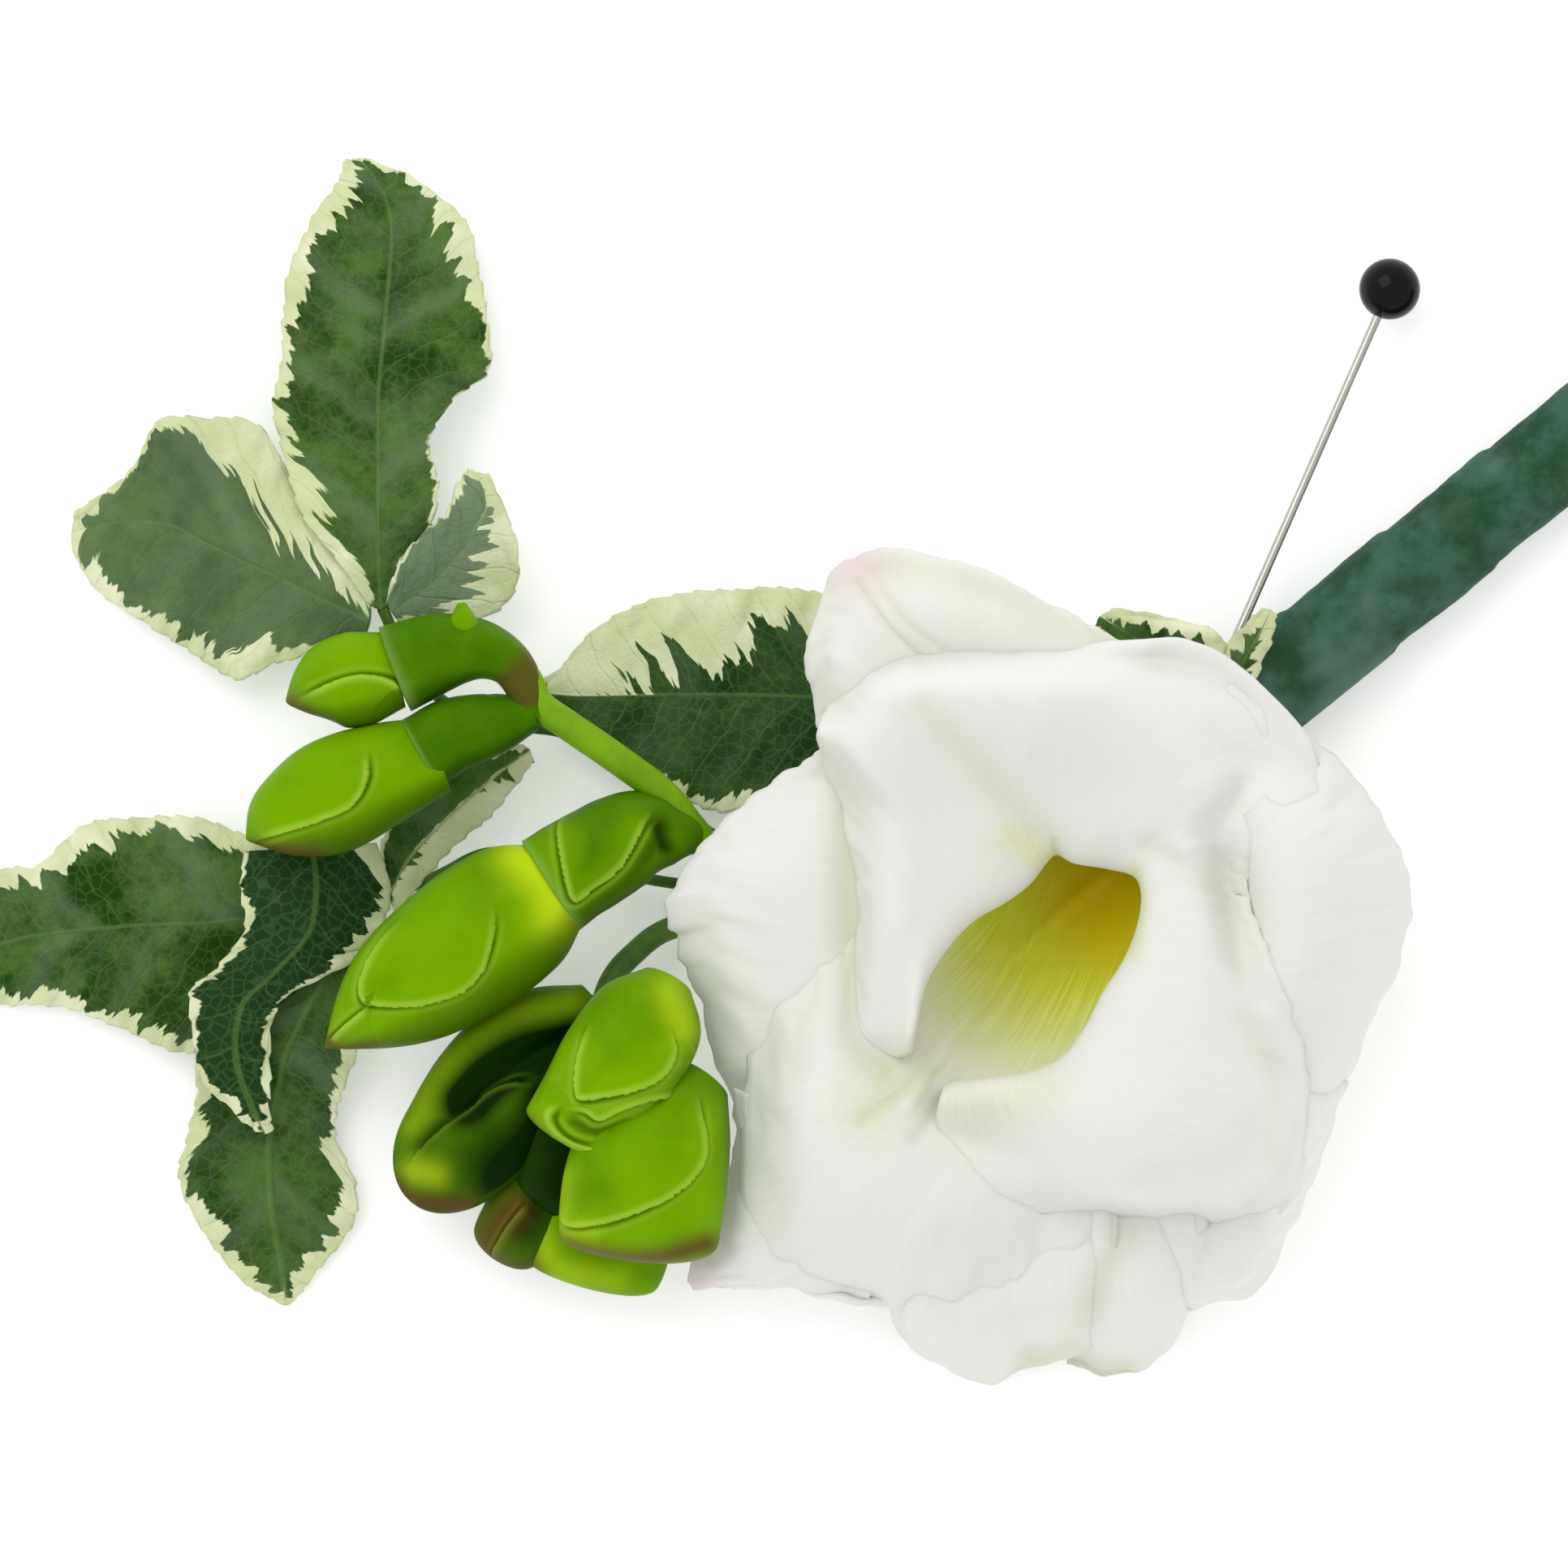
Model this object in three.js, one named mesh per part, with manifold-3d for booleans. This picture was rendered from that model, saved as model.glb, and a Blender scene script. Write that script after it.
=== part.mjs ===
// A boutonniere lying on its back: one white double freesia bloom, a spike and a side spray of
// green buds, variegated lobed leaves, a stem bundle wrapped in floral tape, and a corsage pin.
// Millimetres, +Z up. Points are hand placed, in plan from the middle of the posy, and the whole
// group is then moved so that its origin is the bottom centre of its box.

import * as THREE from "three";
import { mergeVertices } from "three/addons/utils/BufferGeometryUtils.js";
import Module from "manifold-3d";

const wasm = await Module();
wasm.setup();

// Driving dimensions

const petalThickness = 0.7;
const leafThickness = 0.7;
const toothDepth = 0.55;
const fitGap = 0.3;

const tapeLength = 43;
const tapeStart = new THREE.Vector3(28.1, 3.4, 3.25);
const tapeHeading = new THREE.Vector3(0.775, 0.632, 0).normalize();
const tapeEndDrop = 0.55;
const tapeRadiusTop = 3.45;
const tapeRadiusEnd = 2.9;
const tapeWall = 0.6;
const tapeWrapPitch = 8.5;
const tapeWrapStep = 0.22;

const spikeStemRadius = 1.1;
const sprayStemRadius = 0.75;
const petioleRadius = 0.38;
const wireRadius = 0.3;

const pinRadius = 0.3;
const pinLength = 38;
const pinHeadRadius = 2;
const pinHead = new THREE.Vector3(39.4, 32.2, 3.3);
const pinTip = new THREE.Vector3(24.9, -0.7, 5.5);
const pinSocketDepth = 1.4;

const throatCentre = new THREE.Vector3(18.8, -7.5, 7);
const throatRadius = 2.9;
const bloomTubeRadius = 1.4;
const calyxRadius = 2.05;

const colours = {
  petal: 0xebebe6,
  bud: 0x84a814,
  bract: 0x4a7a1c,
  leaf: 0x3f6638,
  tape: 0x2d5f4b,
  wire: 0x4a5a48,
  steel: 0xb4b4ae,
  black: 0x0c0c0e,
};

// Points and curves

const point = ([x, y, z]) => new THREE.Vector3(x, y, z);
const through = (points) => new THREE.CatmullRomCurve3(points, false, "catmullrom", 0.5);

// A value that runs smoothly through a short list of values.
function along(values, t) {
  const line = through(values.map((value) => new THREE.Vector3(value, 0, 0)));
  return line.getPoint(t).x;
}

// Closed solids from rings of points

function bodyFrom(vertices, faces) {
  const geometry = new THREE.BufferGeometry();
  const flat = vertices.flatMap((vertex) => [vertex.x, vertex.y, vertex.z]);
  geometry.setAttribute("position", new THREE.Float32BufferAttribute(flat, 3));
  geometry.setIndex(faces);
  return geometry;
}

// A skin over a stack of equal rings, closed at both ends by a fan about the ring's middle.
function loft(rings) {
  const sides = rings[0].length;
  const vertices = rings.flat();
  const faces = [];
  for (let ring = 0; ring < rings.length - 1; ring += 1) {
    for (let side = 0; side < sides; side += 1) {
      const a = ring * sides + side;
      const b = ring * sides + ((side + 1) % sides);
      faces.push(a, b, b + sides, a, b + sides, a + sides);
    }
  }
  for (const [ring, flip] of [[0, true], [rings.length - 1, false]]) {
    const middle = new THREE.Vector3();
    rings[ring].forEach((vertex) => middle.addScaledVector(vertex, 1 / sides));
    const centre = vertices.push(middle) - 1;
    for (let side = 0; side < sides; side += 1) {
      const a = ring * sides + side;
      const b = ring * sides + ((side + 1) % sides);
      faces.push(...(flip ? [centre, b, a] : [centre, a, b]));
    }
  }
  return bodyFrom(vertices, faces);
}

// Rings about a path. shape(t, share) gives how far the skin lies sideways and upwards at a share
// of the way round.
function rings(path, steps, sides, shape) {
  const result = [];
  const up = new THREE.Vector3(0, 0, 1);
  for (let step = 0; step <= steps; step += 1) {
    const t = step / steps;
    const middle = path.getPoint(t);
    const heading = path.getTangent(t);
    const aside = new THREE.Vector3().crossVectors(up, heading).normalize();
    const lift = new THREE.Vector3().crossVectors(heading, aside);
    const ring = [];
    for (let side = 0; side < sides; side += 1) {
      const [sideways, upwards] = shape(t, side / sides);
      ring.push(middle.clone().addScaledVector(aside, sideways).addScaledVector(lift, upwards));
    }
    result.push(ring);
  }
  return result;
}

function oval(share, wide, deep) {
  const angle = share * Math.PI * 2;
  return [Math.cos(angle) * wide, Math.sin(angle) * deep];
}

function stalk(points, steps, sides, radii) {
  return loft(rings(through(points), steps, sides, (t, share) => {
    const radius = along(radii, t);
    return oval(share, radius, radius);
  }));
}

// Blades: a net of points with a thickness

// A net that runs smoothly through rows of points, from root to tip and from edge to edge.
function net(rows, lengthways, crossways) {
  const rowCurves = rows.map((row) => through(row));
  const grid = Array.from({ length: lengthways + 1 }, () => []);
  for (let j = 0; j <= crossways; j += 1) {
    const column = through(rowCurves.map((curve) => curve.getPoint(j / crossways)));
    for (let i = 0; i <= lengthways; i += 1) {
      grid[i].push(column.getPoint(i / lengthways));
    }
  }
  return grid;
}

function bladeFrom(grid, thickness) {
  const rows = grid.length;
  const columns = grid[0].length;
  const vertices = [];
  for (const side of [1, -1]) {
    for (let i = 0; i < rows; i += 1) {
      for (let j = 0; j < columns; j += 1) {
        const lengthways = new THREE.Vector3().subVectors(
          grid[Math.min(i + 1, rows - 1)][j], grid[Math.max(i - 1, 0)][j]);
        const crossways = new THREE.Vector3().subVectors(
          grid[i][Math.min(j + 1, columns - 1)], grid[i][Math.max(j - 1, 0)]);
        const normal = new THREE.Vector3().crossVectors(lengthways, crossways).normalize();
        vertices.push(grid[i][j].clone().addScaledVector(normal, (side * thickness) / 2));
      }
    }
  }
  const under = rows * columns;
  const faces = [];
  for (let i = 0; i < rows - 1; i += 1) {
    for (let j = 0; j < columns - 1; j += 1) {
      const a = i * columns + j;
      const b = a + 1;
      const c = a + columns;
      const d = c + 1;
      faces.push(a, c, d, a, d, b);
      faces.push(under + a, under + d, under + c, under + a, under + b, under + d);
    }
  }
  const rim = [];
  for (let j = 0; j < columns - 1; j += 1) rim.push(j);
  for (let i = 0; i < rows - 1; i += 1) rim.push(i * columns + columns - 1);
  for (let j = columns - 1; j > 0; j -= 1) rim.push((rows - 1) * columns + j);
  for (let i = rows - 1; i > 0; i -= 1) rim.push(i * columns);
  rim.forEach((a, index) => {
    const b = rim[(index + 1) % rim.length];
    faces.push(a, b, under + b, a, under + b, under + a);
  });
  return bodyFrom(vertices, faces);
}

// Joining and cutting

function solid(geometry) {
  const bare = geometry.clone();
  bare.deleteAttribute("normal");
  bare.deleteAttribute("uv");
  const merged = mergeVertices(bare, 1e-4);
  return new wasm.Manifold(new wasm.Mesh({
    numProp: 3,
    vertProperties: new Float32Array(merged.attributes.position.array),
    triVerts: new Uint32Array(merged.index.array),
  }));
}

function geometryOf(body) {
  const mesh = body.getMesh();
  const geometry = new THREE.BufferGeometry();
  geometry.setAttribute("position", new THREE.BufferAttribute(mesh.vertProperties, 3));
  geometry.setIndex(new THREE.BufferAttribute(mesh.triVerts, 1));
  return geometry;
}

const fuse = (geometries) => geometries.map(solid).reduce((sum, next) => sum.add(next));

// Takes away whatever lies under the table top, so that a low edge ends in a small flat.
function trimAtTable(body) {
  const depth = 10;
  const slab = new THREE.BoxGeometry(300, 300, depth);
  slab.translate(0, 0, -depth / 2);
  return body.subtract(solid(slab));
}

const posy = new THREE.Group();

function addPiece(name, body, colour, roughness, metalness = 0) {
  const material = new THREE.MeshStandardMaterial({ color: colour, roughness, metalness });
  const piece = new THREE.Mesh(geometryOf(body), material);
  piece.name = name;
  posy.add(piece);
}

// Places inside the taped bundle: distance from its mouth, and sideways and upwards of its axis

const tapeAside = new THREE.Vector3(tapeHeading.y, -tapeHeading.x, 0);

function tapeShare(distance) {
  return distance / tapeLength;
}

function inTape(distance, sideways, upwards) {
  return tapeStart.clone()
    .addScaledVector(tapeHeading, distance)
    .addScaledVector(tapeAside, sideways)
    .add(new THREE.Vector3(0, 0, upwards - tapeEndDrop * tapeShare(distance)));
}

const tapeRadius = (t) => THREE.MathUtils.lerp(tapeRadiusTop, tapeRadiusEnd, t);

// A slim stalk lies along the wall of the bore, at an angle round it, as far in as it was cut.
function alongBore(angleDegrees, depth) {
  const angle = THREE.MathUtils.degToRad(angleDegrees);
  return [depth, depth / 2, 0].map((distance) => {
    const reach = tapeRadius(tapeShare(distance)) - tapeWall - petioleRadius - 0.42;
    return inTape(distance, reach * Math.cos(angle), reach * Math.sin(angle));
  });
}

// The pin

const pinHeading = new THREE.Vector3().subVectors(pinTip, pinHead).normalize();

function pinTube(radius, from, to, sides) {
  const points = [from, (from + to) / 2, to].map(
    (distance) => pinHead.clone().addScaledVector(pinHeading, distance));
  return stalk(points, 4, sides, [radius, radius, radius]);
}

function addPin() {
  const pointStart = pinLength - 3;
  const shaft = loft(rings(
    through([pinHeading.clone().multiplyScalar(pinHeadRadius - pinSocketDepth).add(pinHead),
      pinHead.clone().addScaledVector(pinHeading, pinLength / 2),
      pinHead.clone().addScaledVector(pinHeading, pointStart),
      pinHead.clone().addScaledVector(pinHeading, pinLength)]),
    6, 10, (t, share) => {
      const radius = along([pinRadius, pinRadius, pinRadius, pinRadius * 0.35], t);
      return oval(share, radius, radius);
    }));
  addPiece("pin_shaft", solid(shaft), colours.steel, 0.25, 1);

  const ball = new THREE.SphereGeometry(pinHeadRadius, 18, 10);
  ball.translate(pinHead.x, pinHead.y, pinHead.z);
  const socketBottom = pinHeadRadius - pinSocketDepth - fitGap;
  const socket = pinTube(pinRadius + fitGap, socketBottom, pinHeadRadius + 1, 10);
  addPiece("pin_head", solid(ball).subtract(solid(socket)), colours.black, 0.12);
}

// The floral tape: a hollow wrap whose turns overlap in low helical steps

function addTape() {
  const path = new THREE.LineCurve3(inTape(0, 0, 0), inTape(tapeLength, 0, 0));
  const outside = loft(rings(path, 30, 16, (t, share) => {
    const turn = (t * tapeLength) / tapeWrapPitch - share;
    const rise = tapeWrapStep * (turn - Math.floor(turn)) - tapeWrapStep / 2;
    const radius = tapeRadius(t) + rise;
    return oval(share, radius, radius);
  }));
  const bore = stalk([inTape(-1, 0, 0), inTape(tapeLength / 2, 0, 0), inTape(tapeLength + 1, 0, 0)],
    4, 16, [0, 0.5, 1].map((t) => tapeRadius(t) - tapeWall));
  const pinHole = pinTube(pinRadius + fitGap, pinLength * 0.55, pinLength, 8);
  const wrap = solid(outside).subtract(solid(bore)).subtract(solid(pinHole));
  addPiece("stem_tape", trimAtTable(wrap), colours.tape, 0.85);
}

// A florist's wire runs up beside the stems to stiffen the neck of the bloom.
function addWire() {
  const route = [
    ...alongBore(279, 38),
    ...[[26.4, 2, 1.8], [24.6, 0.9, 2.1], [21.6, -0.3, 2.1], [16, -2.4, 2.4]].map(point),
  ];
  addPiece("florist_wire", solid(stalk(route, 16, 6, [wireRadius, wireRadius])), colours.wire, 0.5);
}

// Petals. Each starts on an arc of the throat, given in degrees, and then runs through rows, root
// to rim. The crown runs all round the throat: from the lobe at its lower left along the lip below
// it, up its right side, over its top, and down its left side, where the free edge is rolled.

const petals = {
  crown: {
    arc: [-125, -112, -98, -84, -70, -52, -35, -15, 0, 22, 41, 85, 118, 150, 170, 183, 195, 207,
      218, 224],
    cells: [8, 24],
    rows: [
      [[11, -19.2, 10.8], [13.6, -19.2, 10.8], [16.2, -19, 11], [18.4, -18.2, 11.2],
        [20, -16.3, 11.5], [21.2, -13.8, 11.5], [22.6, -11.4, 11.5], [23.3, -9, 11.5],
        [23.5, -7, 11.5], [22.9, -5.5, 11.5], [21.2, -4.8, 11.5], [19, -4.3, 11.5],
        [17.3, -4.2, 11.5], [15.4, -5.7, 11.5], [13.8, -6.8, 11.5], [11.9, -8.1, 11.3],
        [10.3, -10, 11.2], [8.8, -12.6, 11.2], [8.2, -16, 11.2], [8.3, -17.3, 12]],
      [[10.4, -19.6, 15.6], [13.2, -19.3, 17.4], [16, -18.9, 18.4], [18.2, -18, 19],
        [19.9, -16, 19.4], [21.1, -13.6, 19.4], [22.4, -11.3, 19.2], [23.2, -9, 18.8],
        [23.4, -7, 18.4], [22.9, -5.7, 18.2], [21.2, -5.1, 17.8], [19, -4.7, 17.8],
        [17.4, -4.1, 17.4], [15.6, -6, 16.8], [14, -7.1, 16.4], [12.1, -8.4, 16.3],
        [10.5, -10.2, 16.4], [9, -12.8, 16.6], [8.3, -16, 16.4], [8.1, -17.4, 14.8]],
      [[9.9, -21.4, 17.4], [14.4, -22, 19.4], [18.4, -22.4, 21], [21.8, -21.8, 22],
        [25, -19.2, 22.2], [26, -15, 22], [26, -11.4, 21.4], [25.6, -8, 20.6],
        [25.4, -5.6, 20], [25.6, -3.6, 20.2], [24.4, -1.6, 20.8], [21, -0.4, 21],
        [16.8, 0, 21], [12.4, -0.6, 20], [9.8, -0.8, 19.4], [9, -4, 18.4],
        [8.5, -7.4, 18.1], [8, -11, 18.1], [7.5, -16.1, 17.7], [7.3, -17.7, 14.8]],
      [[10.2, -23.6, 17.6], [16.2, -25, 19.6], [22.4, -25.8, 20.6], [28, -25, 21],
        [31, -20.8, 21.4], [31, -15.8, 21.4], [29.6, -11.4, 21], [28.2, -7.8, 20.4],
        [27.8, -5, 19.8], [28.8, -2, 19.8], [28.8, 1.8, 20.4], [25, 5, 21.8],
        [17, 5.4, 24.2], [10.2, 5.6, 23.4], [6.2, 5, 22.4], [5.4, 0.4, 20.4],
        [5.8, -4, 19.6], [5.8, -8.6, 19.2], [5.8, -15.4, 18], [6.2, -17.5, 14.8]],
      [[11.2, -25.8, 16.4], [17.4, -27.8, 17.4], [25.4, -28.2, 17.6], [32.4, -27.6, 17.6],
        [34.1, -20.4, 18.6], [33.1, -15.2, 19.6], [31.6, -11, 20], [30.2, -7.8, 19.6],
        [30, -5.6, 19.2], [31.6, -3, 18.4], [34.9, 0.8, 15.4], [27.6, 9, 16.4],
        [17.6, 8.8, 20.5], [8.6, 8.6, 20.4], [3.6, 5.8, 19.4], [2.3, 2.6, 17.2],
        [3.8, -3, 16], [4.6, -8, 15.8], [4.6, -14.6, 15.2], [5.2, -16.8, 14.4]],
    ],
  },
  apron: { cells: [8, 8], rows: [
    [[15, -4.4, 10.5], [15.8, -3.8, 9.6], [16.6, -3.4, 8.8], [17.6, -3.2, 8], [18.7, -3.2, 7.6],
      [19.8, -3.3, 7.6], [21, -3.5, 8], [22.2, -3.9, 8.6], [23.4, -4.4, 9.8], [24.6, -5.2, 11.5]],
    [[13.2, -7, 12.2], [12.6, -8.6, 11], [12.6, -10, 10.2], [13, -11.6, 9.6], [13.8, -13, 9.3],
      [15, -13.8, 9.3], [16.2, -13.8, 9.4], [17.8, -13.6, 9.8], [20.4, -13, 10.8],
      [23.4, -12, 12.4]],
    [[8.4, -9.8, 13.6], [7.6, -12, 13.4], [7.4, -14.2, 13.3], [7.6, -16.4, 13.4],
      [8.6, -18.4, 13.6], [10, -19.8, 13.6], [11.6, -20.4, 13.4], [13.8, -20.4, 13.1],
      [17, -20.2, 13.2], [20.6, -19.6, 13.4]],
    [[5.8, -6, 13.2], [5.6, -9.4, 13.2], [4.8, -13.2, 13.6], [3.6, -17.4, 14.8],
      [3.4, -21.4, 15.6], [5.2, -24.6, 15.8], [8, -26, 15.6], [11.4, -26.2, 15.2],
      [15.6, -25.4, 14.2], [19.6, -24.4, 13]],
    [[5.6, -5, 13], [5, -8.2, 13.2], [3.6, -11.8, 14], [0.8, -17, 15], [-0.2, -22.6, 15.8],
      [1.6, -28.6, 15.2], [5.4, -30.8, 15], [10.6, -30.8, 14.5], [16, -29, 13.6],
      [20.8, -26.6, 13]],
    [[5.5, -4, 12.6], [4.8, -7.6, 12.8], [2.6, -10.8, 13.2], [-1.2, -15.4, 12.6],
      [-2.7, -22.6, 12], [-1.4, -31, 9.8], [4.4, -33.5, 9.8], [11, -33.8, 10.8],
      [17, -31.8, 11.4], [21.6, -28.4, 11.5]],
  ] },
  left: { arc: [150, 215], rows: [
    [[11.8, -4.4, 11.5], [9.2, -6, 12], [7.4, -8.1, 12.4], [7.2, -12.3, 12], [9.1, -17.4, 10.5]],
    [[5.6, 0.3, 14.2], [3.6, -2.8, 14.4], [2.4, -7.1, 14.2], [2.5, -12.8, 12.6],
      [4, -21.6, 9.8]],
    [[3.4, 1.6, 11.5], [-0.8, -1.8, 12.5], [-3.2, -6.5, 13], [-3, -12.4, 11.6], [0.6, -22.4, 8.8]],
    [[2.3, 2.3, 10.5], [-3.2, -1.8, 11], [-7.5, -7.5, 10.5], [-5.9, -13.2, 8], [-2.6, -22.6, 6.8]],
  ] },
  back_top: { arc: [135, 85], rows: [
    [[11.3, -0.7, 10], [11.8, 0.8, 10.5], [13.4, 1.9, 11], [15.5, 2.4, 11], [18.1, 2.9, 11],
      [20.7, 2.9, 11]],
    [[5.5, 3.5, 13], [4.4, 7.2, 15], [6.5, 10.3, 16], [11.8, 10.6, 16.5], [17.1, 9, 15.5],
      [21.3, 7.2, 14]],
    [[2.4, 3.7, 10.5], [1.4, 8.7, 11], [4.2, 14.5, 12], [11.3, 14.4, 13.5], [17.6, 11.6, 13],
      [22.4, 8.6, 11.5]],
  ] },
  back_right: { arc: [90, 45], rows: [
    [[21.3, 0.3, 10], [22.8, 0.8, 10.5], [24.9, 0.3, 10.5], [27.1, -0.7, 10.5], [28.1, -2.3, 10.5]],
    [[20.7, 5.6, 14.5], [24.4, 6, 15.5], [27.6, 5.4, 16], [30.4, 3.2, 16], [32.4, 0.3, 15.5]],
    [[20.2, 8.6, 12], [23.9, 8.6, 12.5], [28.2, 7.6, 13], [31.2, 5.2, 13], [33.4, 1.8, 13]],
  ] },
  right: { arc: [45, -25], rows: [
    [[25.5, -2.8, 10.5], [26.5, -4.4, 10.5], [27.1, -7.1, 10.5], [26.5, -10.2, 10],
      [24.9, -13.4, 9.5]],
    [[29.2, -2.3, 18.2], [30.7, -4.9, 18.8], [31.5, -8.1, 18.8], [31.3, -12.8, 18],
      [29.7, -17.8, 15.2]],
    [[31.8, 0.3, 17.8], [34.7, -2.8, 18.6], [36, -7.1, 18.6], [35.2, -12.8, 17.2],
      [33.2, -20.6, 13.4]],
    [[33.4, 3.5, 11.5], [38.1, -1, 12], [40.6, -6.8, 12], [39.3, -12.8, 11], [35.4, -21.5, 8.8]],
  ] },
  low_right: { arc: [-10, -65], rows: [
    [[24.9, -11.3, 9], [24.9, -13.4, 9], [24.4, -15.5, 8.5], [22.8, -17.1, 8.5],
      [21.3, -17.6, 8.5]],
    [[32.8, -18.6, 13.5], [32.3, -22.8, 13.5], [30.7, -27.1, 13], [28.1, -30.2, 12],
      [24.4, -31.3, 10.5]],
    [[36.5, -19.2, 9], [34.8, -24.4, 8], [33.4, -28.1, 7.5], [31.3, -32.3, 7], [26.3, -34, 6]],
  ] },
  bottom_right: { arc: [-60, -90], rows: [
    [[24.8, -16.9, 10], [23.3, -17.5, 9.6], [21.6, -18, 9.2], [20.2, -18.4, 9], [18.8, -18, 9]],
    [[27.3, -27.6, 13], [25.4, -30.5, 12.6], [23.4, -31.8, 11.8], [21.4, -31.6, 11.4],
      [19.6, -30.2, 11.8]],
    [[27.1, -31.3, 5], [26.2, -34.4, 3], [24.5, -37.5, 1.2], [21.8, -38.5, 0.3],
      [18.4, -37.8, 0.6]],
  ] },
  bottom: { arc: [-85, -120], cells: [6, 5], rows: [
    [[20.6, -18.6, 8.5], [18.6, -18.6, 8.5], [16.5, -18.6, 8.3], [15.5, -18.1, 8.2],
      [14.4, -17.6, 8.2], [13.9, -16.5, 8.2]],
    [[21.6, -29, 12.4], [18.6, -31.3, 11.8], [14.9, -32.6, 10.6], [12.3, -33.1, 10],
      [9.7, -32.2, 10], [8.1, -30.7, 10]],
    [[20.5, -32.8, 7], [19.9, -36.3, 3.8], [16.5, -37.7, 1.6], [12.6, -38.9, 0.3],
      [8.1, -36.5, 1.6], [6.3, -33.4, 4]],
  ] },
  left_low: { arc: [200, 245], rows: [
    [[11.3, -13.9, 8.5], [10.7, -14.9, 8.3], [10.7, -16, 8], [11.3, -17.1, 8], [12.3, -17.6, 8]],
    [[-0.3, -19.7, 10.5], [-0.6, -25.5, 10], [-0.8, -29.8, 9.2], [3, -31, 9.2],
      [6.2, -31.8, 8.8]],
    [[-3.2, -19.7, 8], [-3.6, -25.5, 6.6], [-6.1, -32.5, 3], [-0.8, -32.2, 6.6],
      [5.4, -33.2, 6.8]],
  ] },
};

// The points of a row on the throat's arc. Its angles are spread evenly over the row.
function throatArc(angles, count) {
  return Array.from({ length: count }, (_, index) => {
    const place = (index / (count - 1)) * (angles.length - 1);
    const before = Math.min(Math.floor(place), angles.length - 2);
    const angle = THREE.MathUtils.degToRad(
      THREE.MathUtils.lerp(angles[before], angles[before + 1], place - before));
    return throatCentre.clone().add(
      new THREE.Vector3(Math.cos(angle) * throatRadius, Math.sin(angle) * throatRadius, 0));
  });
}

function petal({ arc, cells = [6, 6], rows }) {
  const points = rows.map((row) => row.map(point));
  if (arc) points.unshift(throatArc(arc, rows[0].length));
  return bladeFrom(net(points, ...cells), petalThickness);
}

function addBloom() {
  const neckLine = [[18.7, -8, 8.4], [18.7, -7.6, 6.6], [18.7, -6.6, 5.4], [18.8, -5, 4.7],
    [18.95, -2.9, 4.4]];
  const neck = stalk(neckLine.map(point), 8, 12, [3, 2.7, 2.1, 1.6, bloomTubeRadius]);
  const body = fuse([neck, ...Object.values(petals).map(petal)]);
  addPiece("bloom", trimAtTable(body), colours.petal, 0.55);
}

// Buds and their bracts. wide and deep are half sizes along the axis, root to tip. Three tepals
// lap round a bud: seam gives the angle, in degrees, where the edge of the first one runs.

const tepals = 3;
const tepalSamples = [0, 0.03, 0.3, 0.62, 0.9];
const tepalLap = 0.2;
const tepalRim = 0.05;

function bud({ axis, wide, deep, seam, side = 1 }) {
  const samples = tepalSamples.length;
  return loft(rings(through(axis.map(point)), 9, tepals * samples, (t, share) => {
    const index = Math.round(share * tepals * samples);
    const within = tepalSamples[index % samples];
    const turn = (Math.floor(index / samples) + within) / tepals;
    const high = side > 0 ? within : 1 - within;
    const step = within === 0 && side > 0 ? 1 : high;
    const rim = step > 0.85 ? tepalRim : 0;
    const lap = 1 - tepalLap * (1 - step) * Math.sin(Math.PI * Math.min(0.94, t + 0.1)) * 0.5 + rim;
    return oval(turn + along(seam, t) / 360, along(wide, t) * lap, along(deep, t) * lap);
  }));
}

function bract({ axis, wide, deep }) {
  return loft(rings(through(axis.map(point)), 8, 10, (t, share) => oval(
    share, along(wide, t), along(deep, t))));
}

const spikeBuds = [
  { axis: [[-14.3, -6.2, 9.6], [-17.2, -8.1, 9.6], [-21.4, -11, 9.3], [-25.6, -13.9, 9],
    [-29.8, -17.1, 8.4]], wide: [2.8, 4.5, 4.7, 3.6, 0.6], deep: [2, 3.2, 3.4, 2.6, 0.6],
  seam: [125, 105, 80, 66, 77, 98, 106] },
  { axis: [[-22.4, 1.9, 9.6], [-26.1, 0.6, 9.6], [-29.8, -1, 9.4], [-32.9, -2.4, 9.1],
    [-34.9, -3.6, 8.8]], wide: [2.5, 3.4, 3.7, 2.5, 0.5], deep: [1.7, 2.5, 2.7, 1.9, 0.5],
  seam: [140, 120, 98, 82, 78, 85, 92] },
  { axis: [[-25.1, 7.4, 9.6], [-27.7, 6.8, 9.6], [-29.8, 6.4, 9.4], [-32.3, 5.3, 9]],
    wide: [2.5, 3.1, 2.6, 0.5], deep: [1.8, 2.3, 2, 0.5], seam: [60, 92, 100, 106, 110] },
];

const spikeBracts = [
  { axis: [[-25.2, 7.4, 9.6], [-22.4, 8.5, 9.8], [-19.8, 8.7, 10], [-17.8, 7.8, 10.2],
    [-16.7, 6, 10.2], [-16.3, 4.4, 9.9]],
  wide: [2.9, 2.6, 2, 1.5, 1.2, 1.1], deep: [2.2, 2, 1.8, 1.4, 1.2, 1.1] },
  { axis: [[-23.5, 2, 9.6], [-21.4, 3.2, 9.8], [-18.7, 3.9, 10], [-16.2, 4.6, 10]],
    wide: [2.5, 2.4, 2, 1.1], deep: [2.1, 2, 1.6, 1.1] },
  { axis: [[-15.2, -6.6, 9.6], [-12.2, -4.7, 9.6], [-9.5, -3.4, 9.2], [-7.2, -3.2, 8.3],
    [-5.8, -3.3, 7.5]], wide: [3.4, 3.3, 3, 2, 1.2], deep: [2.6, 2.4, 2.1, 1.6, 1.1] },
];

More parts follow.
